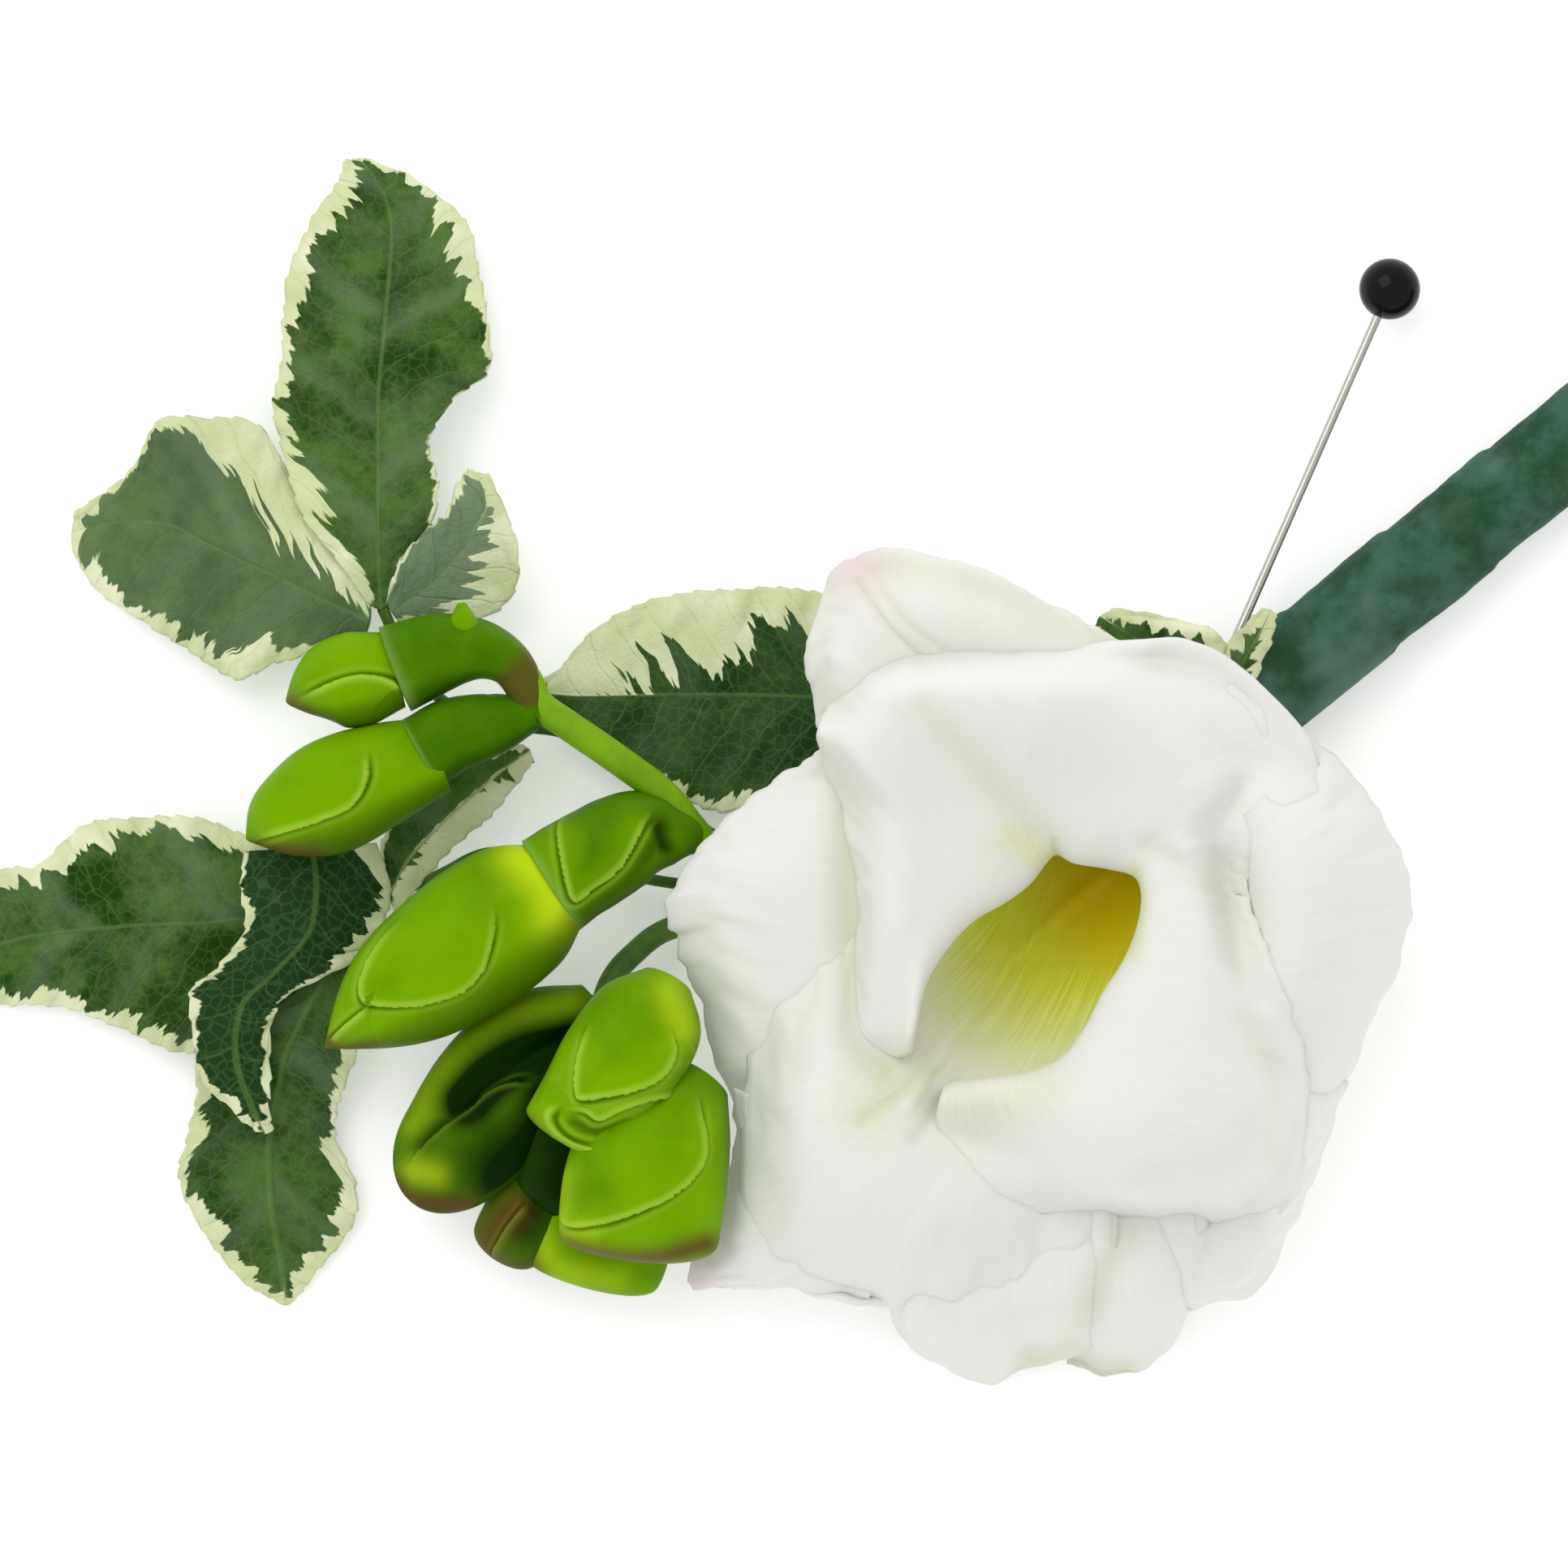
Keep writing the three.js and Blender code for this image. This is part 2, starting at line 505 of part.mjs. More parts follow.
function addSpike() {
  const stem = [
    inTape(tapeLength - 1, -0.9, 0), inTape(tapeLength / 2, -0.68, 0.05), inTape(0, -0.45, 0.1),
    ...[[24.9, 1.1, 3.7], [19.2, -1, 4.2], [12.3, -3.9, 4.6], [5.5, -6.1, 4.8], [-0.3, -6.6, 5.4],
      [-3.7, -5.4, 6.4], [-5.8, -3.1, 7.6], [-7.9, -0.6, 8.6], [-10.8, 1.6, 9.3], [-14, 3.8, 9.8],
      [-15.9, 5.2, 10.1], [-16.7, 6.9, 10.2], [-18.2, 8.3, 10], [-20.1, 8.7, 9.8]].map(point),
  ];
  const calyx = stalk(
    [[19.1, -0.9, 4.2], [19, -2.2, 4.3], [18.9, -3.4, 4.5], [18.8, -4.6, 4.75]].map(point),
    6, 12, [1.2, 1.9, calyxRadius, calyxRadius - 0.1]);
  const socket = stalk([[18.97, -2.55, 4.35], [18.9, -3.6, 4.5], [18.78, -5, 4.8]].map(point),
    4, 12, [1, 1, 1.05].map((share) => share * (bloomTubeRadius + fitGap)));
  const tipBud = stalk([[-20.6, 9.4, 10.4], [-20.8, 10.6, 10.6], [-20.9, 11.7, 10.4]].map(point),
    3, 6, [1, 0.8, 0.3]);
  const green = fuse([stalk(stem, 38, 8, [spikeStemRadius, spikeStemRadius, 1.1, 0.95]), calyx,
    tipBud, ...spikeBracts.map(bract), ...spikeBuds.map(bud)]);
  addPiece("bud_spike", green.subtract(solid(socket)), colours.bud, 0.45);
}

const sprayBuds = [
  { axis: [[-7.6, -12.9, 9], [-9.2, -15.9, 10.6], [-11.4, -19.2, 11.6], [-13.8, -23.6, 11.2]],
    wide: [1.8, 3.5, 3.9, 3.9, 3.7, 3], deep: [1.4, 2.6, 3.2, 3.2, 2.6, 1.4],
    seam: [75, 62, 52, 58, 72, 88, 98] },
  { axis: [[-5.3, -19.2, 8.6], [-7.6, -22.4, 10.2], [-9, -26, 11], [-9.5, -30.9, 10.2]],
    wide: [2, 4, 4.8, 5.3, 5.3, 4.2], deep: [1.5, 2.7, 3.3, 3.3, 2.7, 1.4],
    seam: [62, 46, 42, 48, 58, 74, 88] },
  { axis: [[-12.2, -14.3, 6.4], [-16, -17.3, 7], [-19.7, -21.7, 7.2], [-24.2, -27.2, 6.6]],
    wide: [1.6, 3.4, 4.4, 4.6, 3.9, 2.2], deep: [1.4, 2.2, 2.6, 2.7, 2.2, 0.9],
    seam: [70, 80, 100, 103, 104, 104], side: -1 },
  { axis: [[-14, -24, 5.4], [-16.6, -27.6, 5.6], [-18.7, -31, 5.2]],
    wide: [2, 2.6, 2.4, 1.6], deep: [1.5, 1.9, 1.7, 0.7], seam: [100, 100] },
  { axis: [[-10.8, -26.5, 6.2], [-11.9, -29.4, 5.8], [-12.8, -32.7, 5.2]],
    wide: [3.4, 4.4, 4.6, 3.3], deep: [1.7, 2, 1.8, 0.9], seam: [60, 60] },
];

function addSpray() {
  const stem = [
    inTape(tapeLength - 1, 1.25, 0), inTape(tapeLength / 2, 1.5, 0), inTape(0, 1.75, 0),
    ...[[23.4, -1.8, 1.6], [17.6, -5.7, 1.15], [9.7, -8.4, 1.5], [1.8, -8.9, 2.4], [-3.5, -8.7, 3.4],
      [-7.4, -9.4, 4.4], [-9.5, -10.8, 5], [-11.3, -12.9, 5.6], [-12.2, -16.3, 6.2],
      [-12.7, -19.7, 6.4]].map(point),
  ];
  const heart = stalk([[-11.6, -14, 6.2], [-12.6, -18.5, 6.8], [-14.2, -23, 6.4], [-14.6, -28.4, 6]]
    .map(point), 6, 10, [1.2, 3, 3.3, 1.8]);
  const body = fuse([stalk(stem, 34, 8, [sprayStemRadius, sprayStemRadius]), heart,
    ...sprayBuds.map(bud)]);
  addPiece("bud_spray", body, colours.bract, 0.45);
}

// Leaves. Each lobe is rows of left edge, midrib and right edge, from its root to its tip.

const upperLeafLobes = [
  [[[-27.1, 11.8, 5.2], [-26.2, 11.3, 5], [-25.4, 11.8, 5.2]],
    [[-29, 14.5, 5.6], [-26.4, 14, 5.2], [-24.9, 14.5, 5.8]],
    [[-31.1, 17.2, 5.6], [-26.5, 16.6, 5.4], [-22.9, 16.9, 6.2]],
    [[-32.1, 19.8, 5.2], [-26.5, 19.3, 5.4], [-22.5, 19.8, 6]],
    [[-32.9, 22.9, 4.8], [-26.5, 22.4, 5.4], [-23.1, 22.2, 5.6]],
    [[-33.2, 25.1, 4.4], [-26.5, 25.1, 5.2], [-21.4, 25.1, 5]],
    [[-32.6, 27.7, 4], [-26.3, 27.7, 4.8], [-19.2, 26.9, 4.4]],
    [[-32.6, 30.3, 3.4], [-26.1, 30.3, 4.4], [-19.3, 30.3, 3.8]],
    [[-32.1, 33.7, 2.8], [-25.8, 33.2, 3.6], [-19.8, 33.2, 3]],
    [[-30.8, 36.6, 2], [-25.7, 36.1, 2.6], [-20.6, 36.4, 2.2]],
    [[-29.4, 38.6, 1.4], [-26.1, 38.3, 1.6], [-22.7, 38.5, 1.4]],
    [[-28.5, 40.5, 0.4], [-27.7, 40.8, 0.3], [-26.5, 40.5, 0.4]]],
  [[[-27.2, 9.5, 4.8], [-26.9, 10.6, 5], [-26.8, 12, 5]],
    [[-29.8, 8.6, 4.6], [-29.5, 11.8, 4.6], [-28.9, 15, 4.7]],
    [[-32.9, 7.9, 3.8], [-32.7, 13.4, 4], [-31.8, 19.3, 4.4]],
    [[-35.5, 6.8, 3], [-35.1, 14.5, 3.6], [-34.1, 23.3, 4.6]],
    [[-37.9, 8.1, 2.6], [-37.7, 15.8, 3.2], [-37.4, 23.8, 4.8]],
    [[-39.7, 9.3, 2.2], [-39.8, 16.9, 2.8], [-40.6, 23.6, 4.8]],
    [[-42.4, 11.1, 1.6], [-42.4, 17.2, 2.2], [-42.3, 20.6, 3.6]],
    [[-44.6, 12.5, 0.8], [-44.5, 16.9, 1.4], [-44.3, 18.9, 2]],
    [[-46.2, 14.6, 0.4], [-46.4, 16.4, 0.5], [-46, 17.7, 0.8]]],
  [[[-25.9, 11.8, 5.2], [-25.6, 11.3, 5], [-25.1, 10.6, 4.8]],
    [[-24.9, 14.6, 6.2], [-23.5, 12.8, 5.4], [-21.4, 10.4, 4.6]],
    [[-23.2, 16.4, 7], [-21.8, 14.5, 5.8], [-18.6, 11.3, 4.6]],
    [[-21.9, 17.9, 7.2], [-20.3, 16.4, 6.2], [-17.3, 13.2, 5]],
    [[-21.1, 19.5, 7.2], [-19.4, 18.2, 6.6], [-17.6, 16.4, 6]],
    [[-20.5, 20.5, 7], [-19.9, 20.2, 7], [-19.2, 20.1, 7]]],
];

const lowerLeafLobes = [
  [[[-28.2, -9.7, 3.8], [-27.7, -7.8, 3.8], [-28.2, -5.7, 3.8]],
    [[-31.9, -12.8, 3.4], [-31.4, -8.4, 3.6], [-31.4, -4.2, 3.6]],
    [[-35.6, -16.3, 3], [-35.1, -8.9, 3.4], [-35.1, -3.3, 3.4]],
    [[-38.8, -17.5, 2.4], [-38.2, -9.2, 3.2], [-38.2, -2.2, 3.2]],
    [[-42.2, -16.3, 2], [-41.9, -9.3, 3], [-41.9, -2.2, 3]],
    [[-45.8, -14.8, 1.6], [-45.6, -9.6, 2.6], [-45.6, -2.7, 2.8]],
    [[-48.7, -14.3, 1.2], [-48.5, -9.9, 2], [-48.5, -5.3, 2.2]],
    [[-51.1, -14.3, 0.8], [-51.1, -10.5, 1.4], [-51.1, -5.7, 1.4]],
    [[-53.2, -12.6, 0.3], [-53.5, -11.2, 0.4], [-53.1, -9.4, 0.5]]],
  [[[-35.1, -4.4, 5], [-30.8, -4.2, 5], [-26.5, -3.8, 4.3]],
    [[-35.3, -6.8, 5.6], [-30.6, -6.8, 5.4], [-25.6, -6.9, 4.1]],
    [[-35.1, -9.6, 6.2], [-31.1, -9.7, 5.6], [-26.2, -9.4, 4.2]],
    [[-37.1, -12.2, 6.4], [-33.2, -12.1, 6], [-28.1, -11.5, 4.6]],
    [[-38.6, -13.6, 6.2], [-35.3, -14.2, 5.8], [-32.3, -13.8, 5.2]],
    [[-38.3, -16.8, 5.4], [-35.8, -17.1, 5.2], [-33.3, -15.7, 4.8]],
    [[-37.7, -19.4, 4.6], [-35.3, -19.4, 4.4], [-33.4, -19.2, 4.2]],
    [[-35.5, -21.5, 3.8], [-34.4, -21.4, 3.8], [-33.5, -21.4, 3.8]],
    [[-34.3, -22.5, 3.4], [-33.7, -22.7, 3.4], [-33.2, -22.5, 3.4]]],
  [[[-29.8, -9.7, 3.8], [-28.2, -9.7, 3.8], [-26.4, -10.2, 3.8]],
    [[-32.7, -13.9, 3.2], [-30.1, -13.1, 3.4], [-27.4, -13.9, 3.4]],
    [[-37.9, -17.3, 2.2], [-32.2, -17.1, 2.8], [-27.7, -17.1, 3]],
    [[-38.2, -20.2, 1.8], [-32.9, -19.9, 2.4], [-28.8, -20.2, 2.4]],
    [[-38.9, -23.3, 1.6], [-33.5, -23.1, 2.1], [-29.2, -22.8, 2]],
    [[-39.4, -25.7, 1.4], [-33.5, -25.7, 1.8], [-27.8, -26.3, 1.6]],
    [[-37.9, -28.9, 1], [-33.2, -28.6, 1.4], [-28.2, -28.9, 1.2]],
    [[-35.8, -31.8, 0.7], [-32.7, -31.5, 0.9], [-30.6, -31.9, 0.8]],
    [[-33.7, -33.3, 0.3], [-32.5, -33.9, 0.3], [-31.7, -33.4, 0.3]]],
  [[[-26.4, -6.3, 3.8], [-25.7, -7.3, 3.8], [-25.3, -8.6, 3.8]],
    [[-26, -3.4, 3.8], [-24.5, -4.9, 4], [-23.6, -6.4, 3.8]],
    [[-24.5, -1, 3.8], [-22.4, -2.6, 4.2], [-21.4, -4, 4]],
    [[-21.6, 1.1, 4], [-20.1, -0.5, 4.4], [-19.2, -2.2, 4.2]],
    [[-18.7, 2.2, 4.2], [-18.1, 1.1, 4.6], [-17.6, -0.2, 4.4]],
    [[-16.9, 2.5, 4.6], [-16.5, 2.2, 4.6], [-16.3, 1.5, 4.6]]],
];

const backLeafLobes = [
  [[[11.8, 3.2, 4.4], [12.3, 4.3, 4.4], [12.1, 5.3, 4.4]],
    [[8.1, 0.8, 4.4], [8.6, 4.9, 4.2], [8.1, 8.7, 4.8]],
    [[3.9, -1, 4.4], [4.4, 5.4, 4], [4.4, 11.6, 5]],
    [[-0.3, -1.3, 4.2], [0.2, 5.6, 3.9], [0.5, 12.7, 5]],
    [[-4.3, -1.8, 4], [-4, 5.7, 3.8], [-3.2, 12.6, 4.8]],
    [[-7.2, -0.6, 4], [-7.4, 5.7, 3.6], [-6.6, 12.4, 4.6]],
    [[-10.1, 0.8, 3.8], [-10.6, 5.7, 3.4], [-10.3, 11.3, 4.2]],
    [[-12.7, 3.2, 3.4], [-13.2, 5.7, 3.1], [-12.9, 9.5, 3.6]],
    [[-14.8, 4.9, 3], [-14.5, 5.8, 2.9], [-14.3, 7.8, 3.2]],
    [[-15.6, 5.2, 2.8], [-15.9, 5.9, 2.8], [-15.5, 6.8, 2.8]]],
];

const smallLeafLobes = [
  [[[25.7, 3.2, 7.2], [26.3, 4, 7.2], [27.1, 4.5, 7.2]],
    [[24.2, 5.1, 7.4], [25.7, 6.1, 7.6], [28.1, 7.2, 8]],
    [[22.6, 7.2, 7.6], [24.4, 8.1, 7.8], [28.4, 9.6, 8.4]],
    [[21.3, 9, 7.6], [22.8, 9.5, 7.8], [25.2, 10.7, 8.2]],
    [[20.2, 10.1, 7.6], [20.5, 10.9, 7.6], [21.5, 11.4, 7.8]]],
  [[[26.1, 4.4, 7.3], [26.6, 4, 7.2], [27.3, 4, 7.2]],
    [[27.8, 7.9, 8], [28.9, 6.9, 7.8], [30.2, 6.1, 7.6]],
    [[29.4, 9.8, 8.4], [30.5, 9.3, 8.2], [31.4, 9, 7.8]],
    [[31.1, 11.4, 8.4], [31.6, 11.3, 8.4], [32, 10.9, 8.2]]],
];

function lobe(rows) {
  const crossways = 4;
  const grid = net(rows.map((row) => row.map(point)), (rows.length - 1) * 2, crossways);
  grid.forEach((row, index) => {
    if (index % 2 === 0 || index === grid.length - 1) return;
    for (const [edge, inner] of [[0, 1], [crossways, crossways - 1]]) {
      const outwards = row[edge].clone().sub(row[inner]).normalize();
      row[edge].addScaledVector(outwards, toothDepth);
    }
  });
  return bladeFrom(grid, leafThickness);
}

function addLeaf(name, lobes, petiole) {
  const stem = stalk(petiole, Math.max(8, petiole.length * 2), 6, [petioleRadius, petioleRadius]);
  addPiece(name, trimAtTable(fuse([stem, ...lobes.map(lobe)])), colours.leaf, 0.5);
}

addTape();
addPin();
addWire();
addBloom();
addSpike();
addSpray();
addLeaf("leaf_upper", upperLeafLobes, [
  ...alongBore(247, 20),
  ...[[25.3, 2.3, 1.3], [21.8, 0.8, 1.2], [14.9, -1, 1.2], [7.1, -3.4, 1.2], [0.7, -4.4, 1.3],
    [-4, -3.6, 1.5], [-7.2, -1.3, 1.8], [-10.3, 0.9, 2], [-14, 3.2, 2.2], [-17.2, 3.8, 2.6],
    [-21.4, 4.9, 3], [-24.3, 7.7, 3.8], [-26.1, 11.4, 5]].map(point)]);
addLeaf("leaf_lower", lowerLeafLobes, [
  ...alongBore(311, 18),
  ...[[25.8, 0.6, 1], [21.3, -1.3, 0.9], [14.9, -3.4, 0.9], [7.1, -5.4, 0.9], [-0.3, -6.3, 1.1],
    [-5.6, -6.6, 1.5], [-10.3, -5.9, 2], [-15.1, -4.8, 2.5], [-19.3, -4.5, 2.9],
    [-22.4, -5.9, 3.2], [-26.4, -7.6, 3.7]].map(point)]);
addLeaf("leaf_back", backLeafLobes, [
  ...alongBore(219, 9),
  ...[[24.9, 3.4, 2.4], [21.3, 4.3, 3], [16.5, 4.5, 3.8], [11.6, 4.3, 4.4]].map(point)]);
addLeaf("leaf_small", smallLeafLobes, [
  ...alongBore(50, 12),
  ...[[27.4, 2.7, 5.5], [26.6, 3.2, 6.5], [26.4, 4.2, 7.2]].map(point)]);

const box = new THREE.Box3().setFromObject(posy);
const middle = box.getCenter(new THREE.Vector3());
posy.position.set(-middle.x, -middle.y, -box.min.z);

export default posy;
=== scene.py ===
"""A boutonniere lying on its back, seen from straight above: a white double freesia bloom, a spike
and a spray of green buds, variegated lobed leaves, a taped stem and a corsage pin."""

import math

import bpy
import numpy as np
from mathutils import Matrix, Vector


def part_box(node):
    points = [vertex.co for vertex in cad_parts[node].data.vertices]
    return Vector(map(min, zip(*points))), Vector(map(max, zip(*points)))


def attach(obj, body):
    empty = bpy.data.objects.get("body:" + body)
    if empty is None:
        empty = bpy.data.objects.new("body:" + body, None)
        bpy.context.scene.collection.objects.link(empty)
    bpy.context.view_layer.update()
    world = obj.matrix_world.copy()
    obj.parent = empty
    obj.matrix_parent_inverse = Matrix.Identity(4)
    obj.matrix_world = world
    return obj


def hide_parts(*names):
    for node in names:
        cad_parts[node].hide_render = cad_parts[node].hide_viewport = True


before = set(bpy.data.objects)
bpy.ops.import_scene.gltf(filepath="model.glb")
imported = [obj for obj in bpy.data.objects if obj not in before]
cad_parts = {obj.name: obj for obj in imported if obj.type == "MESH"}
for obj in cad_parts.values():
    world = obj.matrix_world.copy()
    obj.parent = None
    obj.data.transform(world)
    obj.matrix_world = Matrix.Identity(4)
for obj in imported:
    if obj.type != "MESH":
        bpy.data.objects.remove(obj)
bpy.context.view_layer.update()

# Places are in millimetres from the middle of the photograph, as in the part's own source. The
# pin's head is a known point in both, so it gives the way from there to the frame.

MM = 0.001
PIN_HEAD = np.array((39.4, 32.2, 3.3))
PIN_TIP = np.array((24.9, -0.7, 5.5))
PIN_RADIUS, PIN_LENGTH, PIN_POINT_LENGTH, PIN_HEAD_RADIUS = 0.3, 38, 3, 2
PIN_POINT_SHARE = 0.35
PIN_COLLAR, COLLAR_PLACE, COLLAR_REACH = 0.06, 0.2, 0.08
TABLE_GAP = 0.002

TAPE_LENGTH = 43
TAPE_START = np.array((28.1, 3.4, 3.25))
TAPE_HEADING = np.array((0.775, 0.632, 0)) / math.hypot(0.775, 0.632)
TAPE_ASIDE = np.array((TAPE_HEADING[1], -TAPE_HEADING[0], 0))
TAPE_END_DROP = 0.55
TAPE_RADII = (3.45, 2.9)
TAPE_WALL = 0.6
TAPE_PITCH = 8.5
TAPE_STEP = 0.22
TAPE_STEP_STEEPNESS = 12
TAPE_CREPE = (0.05, 0.07)
TAPE_RINGS, TAPE_SIDES = 180, 72

THROAT = np.array((18.8, -7.5, 7.0))
THROAT_RADIUS = 2.9
PETIOLE_RADIUS = 0.38
WIRE_RADIUS = 0.3
BORE_GAP = 0.42
STALK_SPACING = 0.45

# The photograph is 101.7 mm wide at the middle of the posy's height. The long lens flattens the
# view as the photograph's own does.

PHOTO_WIDTH = 101.7
LENS = 800
SENSOR = 36
MIDDLE_HEIGHT = 10

# The studio, in metres

SOFTBOX_PLACE = (-0.3, 0.5, 0.8)
SOFTBOX_SIZE = 0.7
SOFTBOX_POWER = 2.9
ROOM_BRIGHTNESS = 0.88
FLOOR_HALF = 1.5

head_low, head_high = (np.array(corner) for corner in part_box("pin_head"))
PLAN_ORIGIN = (head_low + head_high) / 2 - PIN_HEAD * MM
PLAN_ORIGIN[2] = 0


def placed(points):
    return np.asarray(points, float) * MM + PLAN_ORIGIN


# Camera and light

def add_camera():
    camera = bpy.data.cameras.new("camera")
    camera.lens = LENS
    camera.sensor_width = SENSOR
    camera.clip_end = 10
    holder = bpy.data.objects.new("camera", camera)
    distance = PHOTO_WIDTH * MM * LENS / SENSOR
    holder.location = placed((0, 0, MIDDLE_HEIGHT)) + (0, 0, distance)
    bpy.context.collection.objects.link(holder)
    bpy.context.scene.camera = holder


def add_softbox():
    light = bpy.data.lights.new("softbox above", "AREA")
    light.energy = SOFTBOX_POWER
    light.size = SOFTBOX_SIZE
    holder = bpy.data.objects.new("softbox above", light)
    holder.location = SOFTBOX_PLACE
    x, y, height = SOFTBOX_PLACE
    holder.rotation_euler = (math.atan2(math.hypot(x, y), height), 0, math.atan2(x, -y))
    bpy.context.collection.objects.link(holder)


def add_room():
    world = bpy.data.worlds.new("pale room")
    world.use_nodes = True
    background = world.node_tree.nodes["Background"]
    background.inputs["Color"].default_value = (1, 1, 1, 1)
    background.inputs["Strength"].default_value = ROOM_BRIGHTNESS
    bpy.context.scene.world = world
    bpy.context.scene.view_settings.view_transform = "Standard"


# Curves and nets of points, in millimetres

def through(points, t):
    """Points at the shares t of a smooth line through a list of points."""
    points = np.asarray(points, float)
    line = np.concatenate([[2 * points[0] - points[1]], points, [2 * points[-1] - points[-2]]])
    place = np.clip(t, 0, 1) * (len(points) - 1)
    first = np.minimum(place.astype(int), len(points) - 2)
    share = (place - first).reshape((-1,) + (1,) * (points.ndim - 1))
    a, b, c, d = (line[first + k] for k in range(4))
    return 0.5 * (2 * b + (c - a) * share + (2 * a - 5 * b + 4 * c - d) * share ** 2
                  + (3 * b - a - 3 * c + d) * share ** 3)


def smooth(low, high, value):
    share = np.clip((value - low) / (high - low), 0, 1)
    return share * share * (3 - 2 * share)


def length_of(points):
    return np.linalg.norm(np.diff(points, axis=0), axis=1).sum()


def net(rows, spacing):
    """A smooth net through rows of points, with its lines about as far apart as spacing."""
    rows = np.asarray(rows, float)
    lengthways = max(8, int(max(length_of(rows[:, j]) for j in range(rows.shape[1])) / spacing))
    crossways = max(8, int(max(length_of(row) for row in rows) / spacing))
    u = np.linspace(0, 1, lengthways + 1)
    v = np.linspace(0, 1, crossways + 1)
    lines = np.stack([through(row, v) for row in rows])
    return through(lines, u), u, v


def unit(vectors):
    length = np.linalg.norm(vectors, axis=-1, keepdims=True)
    return vectors / np.maximum(length, 1e-9)


def normals_of(grid):
    return unit(np.cross(np.gradient(grid, axis=0), np.gradient(grid, axis=1)))


def turns(sides):
    """The angles of a ring's points."""
    return np.linspace(0, math.tau, sides, endpoint=False)[None, :]


def rings(path, t, angle, wide, deep):
    """Oval rings about a path, one for each t, with half sizes sideways and upwards."""
    nudge = 1e-4
    middle = through(path, t)
    heading = unit(through(path, t + nudge) - through(path, t - nudge))
    aside = unit(np.cross((0, 0, 1), heading))
    lift = np.cross(heading, aside)
    return (middle[:, None] + aside[:, None] * (np.cos(angle) * wide)[..., None]
            + lift[:, None] * (np.sin(angle) * deep)[..., None])


def noise(seed, *places):
    """A smooth wandering value about zero, made of a few sines with random turns."""
    draw = np.random.default_rng(seed)
    total = 0
    for octave in (1, 1.7, 2.9):
        turn = draw.uniform(0, math.tau, len(places) + 1)
        lean = draw.uniform(-0.6, 0.6, len(places))
        wave = sum(place * octave * (1 + tilt) for place, tilt in zip(places, lean))
        swing = sum(np.sin(place * octave * 1.3 + spin) for place, spin in zip(places, turn))
        total = total + np.sin(wave + turn[-1] + 0.8 * swing) / octave
    return total / 2


# Meshes

def make_mesh(name, vertices, quads, material, values=None, triangles=()):
    """A finished piece: points in millimetres, and named values for the material to read."""
    mesh = bpy.data.meshes.new(name)
    mesh.from_pydata(placed(vertices).tolist(), [], quads.tolist() + list(triangles))
    for key, value in (values or {}).items():
        mesh.attributes.new(key, "FLOAT", "POINT").data.foreach_set(
            "value", np.ascontiguousarray(value, dtype=np.float32).ravel())
    mesh.materials.append(material)
    mesh.shade_smooth()
    piece = bpy.data.objects.new(name, mesh)
    bpy.context.collection.objects.link(piece)
    return piece


def belongs(piece, node):
    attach(piece, "root")
    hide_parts(node)


def grid_quads(rows, columns, wrap=False):
    i, j = np.meshgrid(np.arange(rows - 1), np.arange(columns if wrap else columns - 1),
                       indexing="ij")
    a = i * columns + j
    b = i * columns + (j + 1) % columns
    return np.stack([a, b, b + columns, a + columns], axis=-1).reshape(-1, 4)


def shell(name, grid, thickness, material, values):
    """Closes a net into a thin blade: its two faces, with a rounded rim between them."""
    rows, columns = grid.shape[:2]
    half = normals_of(grid) * np.broadcast_to(thickness, (rows, columns))[..., None] / 2
    vertices = np.concatenate([(grid + half).reshape(-1, 3), (grid - half).reshape(-1, 3)])
    upper = grid_quads(rows, columns)[:, ::-1]
    under = rows * columns
    rim = np.concatenate([
        np.arange(columns - 1), np.arange(rows - 1) * columns + columns - 1,
        rows * columns - 1 - np.arange(columns - 1), np.arange(rows - 1, 0, -1) * columns])
    following = np.roll(rim, -1)
    edge = np.stack([rim, following, under + following, under + rim], axis=-1)
    quads = np.concatenate([upper, upper[:, ::-1] + under, edge])
    doubled = {key: np.concatenate([value.ravel(), value.ravel()]) for key, value in values.items()}
    first_is_on_top = half[..., 2].mean() > 0
    doubled["under"] = np.repeat([0.0, 1.0] if first_is_on_top else [1.0, 0.0], under)
    return make_mesh(name, vertices, quads, material, doubled)


def body(name, ring_table, material, values=None):
    """A skin over a stack of equal rings, closed at both ends by a fan about the ring's middle."""
    count, sides = ring_table.shape[:2]
    vertices = np.concatenate([
        ring_table.reshape(-1, 3), ring_table[:1].mean(axis=1), ring_table[-1:].mean(axis=1)])
    first, last = count * sides, count * sides + 1
    end_ring = (count - 1) * sides
    fans = []
    for side in range(sides):
        after = (side + 1) % sides
        fans.append([first, after, side])
        fans.append([last, end_ring + side, end_ring + after])
    ended = {}
    for key, value in (values or {}).items():
        table = np.broadcast_to(value, (count, sides))
        ended[key] = np.concatenate([table.ravel(), [table[0].mean(), table[-1].mean()]])
    return make_mesh(name, vertices, grid_quads(count, sides, wrap=True), material, ended, fans)


# Node trees

def add_node(tree, kind, inputs=None, **settings):
    """Adds a node. An input may be given a value or another node's output."""
    node = tree.nodes.new(kind)
    for key, value in settings.items():
        setattr(node, key, value)
    for key, value in (inputs or {}).items():
        if isinstance(value, bpy.types.NodeSocket):
            tree.links.new(value, node.inputs[key])
        else:
            node.inputs[key].default_value = value
    return node


def math_of(tree, operation, *values):
    return add_node(tree, "ShaderNodeMath", dict(enumerate(values)), operation=operation).outputs[0]


def times(tree, first, second):
    return math_of(tree, "MULTIPLY", first, second)


def read_value(tree, name):
    return add_node(tree, "ShaderNodeAttribute", attribute_name=name).outputs["Fac"]


